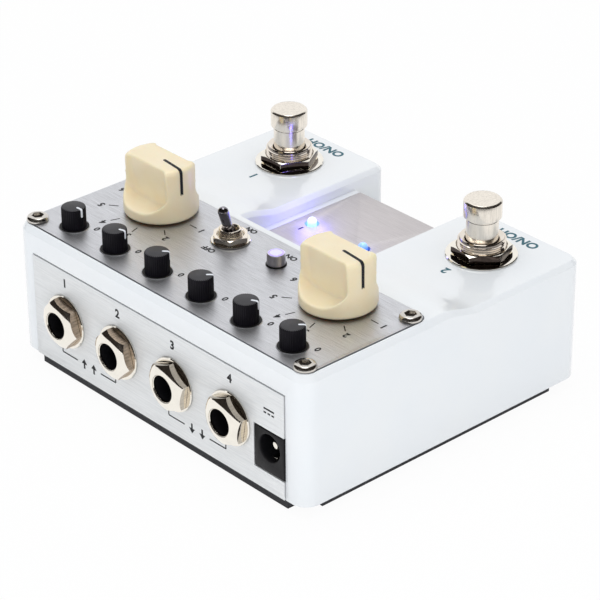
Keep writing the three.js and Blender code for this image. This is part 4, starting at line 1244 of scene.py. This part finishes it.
def words(name, text, size, place, finish, way=UP):
    """A word whose middle is at the place. Its ink stands on the surface it is laid on."""
    curve = bpy.data.curves.new(name, "FONT")
    curve.body, curve.size = text, size
    curve.align_x = curve.align_y = "CENTER"
    curve.extrude = INK / 2
    curve.offset = BOLD * size
    curve.resolution_u = 4
    draft = added(name, curve)
    graph = bpy.context.evaluated_depsgraph_get()
    graph.update()
    mesh = bpy.data.meshes.new_from_object(draft.evaluated_get(graph))
    bpy.data.objects.remove(draft)
    in_metres = way.to_4x4() @ Matrix.Diagonal((MM, MM, MM, 1))
    mesh.transform(Matrix.Translation(Vector(place) * MM) @ in_metres)
    return dress(settle(added(name, mesh)), finish)


def rear_shape(name, outline):
    """A filled outline printed on the rear plate."""
    film = move(prism(name, outline, 0, INK), 0, JACK_PLATE_FACE, 0, REAR_UP)
    return dress(settle(film), PRINT_BLACK)


def rear_stroke(name, first, last, width):
    """A printed line between two points of the rear plate."""
    a, b = Vector(first), Vector(last)
    side = Vector((a.y - b.y, b.x - a.x)).normalized() * (width / 2)
    return rear_shape(name, [tuple(p) for p in (a + side, a - side, b - side, b + side)])


def ticks(name, centre, inner, outer, count, step_deg, width):
    """Radial ticks round a knob, grown from one bar."""
    recipe = Recipe("ticks", Inner=inner, Outer=outer, Width=width, Count=count)
    start, end = recipe.size("Inner"), recipe.size("Outer")
    long_way = recipe.vector(end - start, recipe.size("Width"), INK)
    bar = recipe.add("GeometryNodeMeshCube", None, {0: long_way})
    out = recipe.placed(bar, Translation=recipe.vector((end + start) * 0.5))
    row = {"Count": recipe.size("Count"), "Offset": (0, 0, 0)}
    spots = recipe.add("GeometryNodeMeshLine", None, row)
    angle = recipe.add("GeometryNodeInputIndex") * math.radians(step_deg)
    copies = recipe.on_each(spots, out, angle)
    laid = recipe.placed(copies, Translation=(*centre, SEAT + INK / 2))
    return settle(recipe.cook(name, laid, PRINT_BLACK))


def printed(name, pieces):
    """Joins print of one ink into one piece on the pedal."""
    adopt(merge(name, pieces), "pedal", None)


print("print helpers ready")

# %% Print on the deck, the pods and the rear plate
def deck_print():
    on_deck, step_deg, number_reach = SEAT + INK / 2, 36, 14.8
    marks = []

    def mark(name, text, size, x, y, z=on_deck):
        marks.append(words(name, text, size, (x, y, z), PRINT_BLACK))

    for x, y in TRIMS:
        mark("low", "0", 2.3, x - 4.8, y - 3.1)
        mark("high", "10", 2.3, x + 4.8, y - 3.1)
    for x, y in SELECTORS:
        marks.append(ticks("ticks", (x, y), inner=10.6, outer=13.0, count=6, step_deg=step_deg, width=0.28))
        for i in range(6):
            a = math.radians(180 - step_deg * i)
            dx, dy = number_reach * math.cos(a), number_reach * math.sin(a)
            mark("number", str(i + 1), 2.5, x + dx, y + dy)
    mark("on", "ON", 2.2, TOGGLE[0] + 0.4, TOGGLE[1] - 6.9)
    mark("off", "OFF", 2.2, TOGGLE[0] + 0.1, TOGGLE[1] + 6.6)
    mark("button_mark", "ON", 2.2, BUTTON[0], BUTTON[1] - 4.7)
    for number, (x, y) in enumerate(LAMPS, 1):
        mark("lamp_number", str(number), 2.2, x, y + 3.6, CENTRE_TOP + INK / 2)
    printed("deck_print", marks)


def pod_print():
    marks = []
    for number, (x, y) in enumerate(STOMPS, 1):
        marks.append(words("pod_word", "ON/OFF", 3.7, (x, y - 11.8, POD + INK / 2), PRINT_TEAL))
        marks.append(words("pod_number", str(number), 3.4, (x, y + 11.8, POD + INK / 2), PRINT_TEAL))
    printed("pod_print", marks)


def jack_arrows(first, way_out):
    """A bracket under two jacks with two arrows, which point out of the pedal or into it."""
    left, right = -(JACKS[first] + 2), -(JACKS[first + 1] + 1.7)
    low, tall, arrow = BASE + 4.4, BASE + 5.7, -1.3 if way_out else 1.3
    marks = []
    for side, end in ((1, left), (-1, right)):
        marks.append(rear_stroke("bracket_leg", (end, tall), (end, low), 0.34))
        marks.append(rear_stroke("bracket", (end, low), (end + side * 5.6, low), 0.34))
    for k in (-1, 1):
        mid = (left + right) / 2 + 1.8 * k
        marks.append(rear_shape("arrow_head", [(mid - 1.0, low), (mid + 1.0, low), (mid, low + arrow)]))
        marks.append(rear_stroke("arrow_stem", (mid, low), (mid, low - arrow), 0.55))
    return marks


def direct_current(x, z):
    """One long dash over three short ones."""
    dashes = [(-1.7, 1.7, 0.5)] + [(1.3 * k - 0.42, 1.3 * k + 0.42, -0.5) for k in (-1, 0, 1)]
    return [
        rear_stroke("direct_current", (x + low, z + up), (x + high, z + up), 0.42)
        for low, high, up in dashes
    ]


def rear_print():
    y, z = JACK_PLATE_FACE + INK / 2, JACK_Z + 10.1
    marks = [
        words("jack_number", str(number), 3.0, (x, y, z), PRINT_BLACK, REAR_UP)
        for number, x in enumerate(JACKS, 1)
    ]
    marks += jack_arrows(0, False) + jack_arrows(2, True) + direct_current(39.65, 23.6)
    printed("rear_print", marks)


deck_print()
pod_print()
rear_print()
print("print laid")

# %% [markdown]
# ## Stage, light and camera
# A product photograph on white is a plain bright studio: a pale floor, a bright surround, one broad
# lamp overhead, and two low ones for the sides that the camera sees. A tiny lamp over each lit lens
# throws its colour on the plate. The camera's place was worked out from the photograph's
# perspective, a long lens from behind and above.

# %% The floor and the surround
def seen_directly(tree):
    """1 where the camera, a mirror or a clear surface looks, 0 where only soft light does."""
    rays = tree.nodes.new("ShaderNodeLightPath").outputs
    looks = [Wire(tree, rays[f"Is {kind} Ray"]) for kind in ("Camera", "Glossy", "Transmission")]
    return (looks[0] + looks[1] + looks[2]).between(0, 1)


def white_where_seen(owner, soft_kind, soft, white_kind, share, output_kind):
    """A soft shader for light, with plain white mixed in where it is seen directly."""
    owner.use_nodes = True
    tree = Tree(owner.node_tree)
    tree.nodes.clear()
    shaders = {
        0: seen_directly(tree) * share,
        1: tree.add(soft_kind, None, soft),
        2: tree.add(white_kind, None, {"Color": (1, 1, 1, 1), "Strength": 1.0}),
    }
    mixed = tree.add("ShaderNodeMixShader", None, shaders)
    tree.add(output_kind, None, {"Surface": mixed})


floor_white = bpy.data.materials.new("floor_white")
white_where_seen(floor_white, "ShaderNodeBsdfDiffuse", {"Color": (0.92, 0.92, 0.92, 1)},
                 "ShaderNodeEmission", 0.95, "ShaderNodeOutputMaterial")
FLOOR_CORNERS = [(-900, -900, 0), (900, -900, 0), (900, 900, 0), (-900, 900, 0)]
floor = make("floor", FLOOR_CORNERS, [(0, 1, 2, 3)])
floor.data.materials.append(floor_white)
floor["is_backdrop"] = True

studio = bpy.data.worlds.new("studio")
bpy.context.scene.world = studio
white_where_seen(studio, "ShaderNodeBackground", {"Color": (0.95, 0.975, 1, 1), "Strength": 0.71},
                 "ShaderNodeBackground", 1, "ShaderNodeOutputWorld")
print("floor and surround ready")

# %% Lamps
def light(name, kind, watts, place_mm, color):
    data = bpy.data.lights.new(name, kind)
    data.energy, data.color = watts, color
    made = added(name, data)
    made.location = Vector(place_mm) * MM
    return made


def lamp(name, watts, size_mm, place_mm, aim_z, color=(1, 1, 1)):
    """A square lamp that faces the pedal's axis at a height."""
    made = light(name, "AREA", watts, place_mm, color)
    made.data.size = size_mm * MM
    aim = Vector((0, 0, aim_z)) * MM - made.location
    made.rotation_euler = aim.to_track_quat("-Z", "Y").to_euler()


def lamp_spill(name, watts, radius_mm, place_mm, color):
    """A small round lamp over a lit lens: what the lens throws on its neighbours."""
    made = light(name, "POINT", watts, place_mm, color)
    made.data.shadow_soft_size = radius_mm * MM
    made.visible_camera = False


lamp("overhead", 1.3, 500, (40, 10, 630), 20, (1, 0.985, 0.96))
lamp("left_low", 0.85, 360, (-600, 180, 60), 10)
lamp("rear_low", 0.8, 360, (-60, 620, 60), 10)
lamp_spill("spill_1", 0.0022, 2.9, (*LAMPS[0], FLOOR + 3.6), (0.2, 0.15, 1))
lamp_spill("spill_2", 0.0003, 1.8, (*LAMPS[1], FLOOR + 2.6), (0.2, 0.2, 1))
print("lamps: 5")

# %% [markdown]
# Polished metal only looks polished when it has something dark to show. The photograph's nickel is
# white where it mirrors the backdrop and nearly black where it mirrors the room behind the camera.
# A curved dark card stands there, wide enough to reach round both ends of the pedal. Only mirrors
# see it, so the chamfers that face the camera lose their sheen and read a little warmer than the
# flats, while the soft light on the paint stays as it was.

# %% The dark side of the room
def dark_card(name, azimuth_deg, spread_deg, low_deg, high_deg, radius, steps):
    """Part of a sphere round the pedal that only mirrors see."""
    points = []
    for j in range(steps + 1):
        rise = math.radians(low_deg + (high_deg - low_deg) * j / steps)
        flat = radius * math.cos(rise)
        for i in range(steps + 1):
            a = math.radians(azimuth_deg + spread_deg * (2 * i / steps - 1))
            points.append((flat * math.sin(a), -flat * math.cos(a), 20 + radius * math.sin(rise)))
    side = steps + 1
    corners = [j * side + i for j in range(steps) for i in range(steps)]
    card = make(name, points, [(k, k + 1, k + side + 1, k + side) for k in corners])
    card.visible_camera = card.visible_diffuse = card.visible_transmission = False
    card.visible_shadow = card.visible_volume_scatter = False
    matte = Finish(name, Base_Color=(0.03, 0.025, 0.022), Roughness=1.0, Specular_IOR_Level=0.0)
    dress(card, matte)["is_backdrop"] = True


dark_card("room_dark", azimuth_deg=228, spread_deg=130, low_deg=-1.6, high_deg=76, radius=600, steps=32)
print("dark card ready")

# %% The camera
def photo_camera():
    """The solved camera: its direction, its distance from the aim, a small shift and a small roll."""
    picture_px, sensor_mm, focal_px, roll_deg = 600, 36, 2712.1, -0.37
    distance, shift_right, shift_down = 644.21, 0.679, 1.954
    back = Vector((-0.6493, 0.5851, 0.4859)).normalized()
    right = Vector((0, 0, 1)).cross(back).normalized()
    up = back.cross(right)
    c, s = math.cos(math.radians(roll_deg)), math.sin(math.radians(roll_deg))
    right, up = c * right + s * up, -s * right + c * up
    place = (Vector((0, 0, 21)) + back * distance + right * shift_right - up * shift_down) * MM
    data = bpy.data.cameras.new("photo_camera")
    data.sensor_width = sensor_mm
    data.lens = focal_px / picture_px * sensor_mm
    data.clip_start, data.clip_end = 0.05, 20
    camera = added("photo_camera", data)
    axes = Matrix((right, up, back)).transposed()
    camera.matrix_world = Matrix.Translation(place) @ axes.to_4x4()
    bpy.context.scene.camera = camera
    return camera


camera = photo_camera()
bpy.context.scene.view_settings.view_transform = "Standard"
print("camera:", round(camera.data.lens, 1), "mm lens")

dressed_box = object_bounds()
for label, box in (("frame", frame_box), ("dressed", dressed_box)):
    print(label, [[round(v / MM, 2) for v in corner] for corner in box])
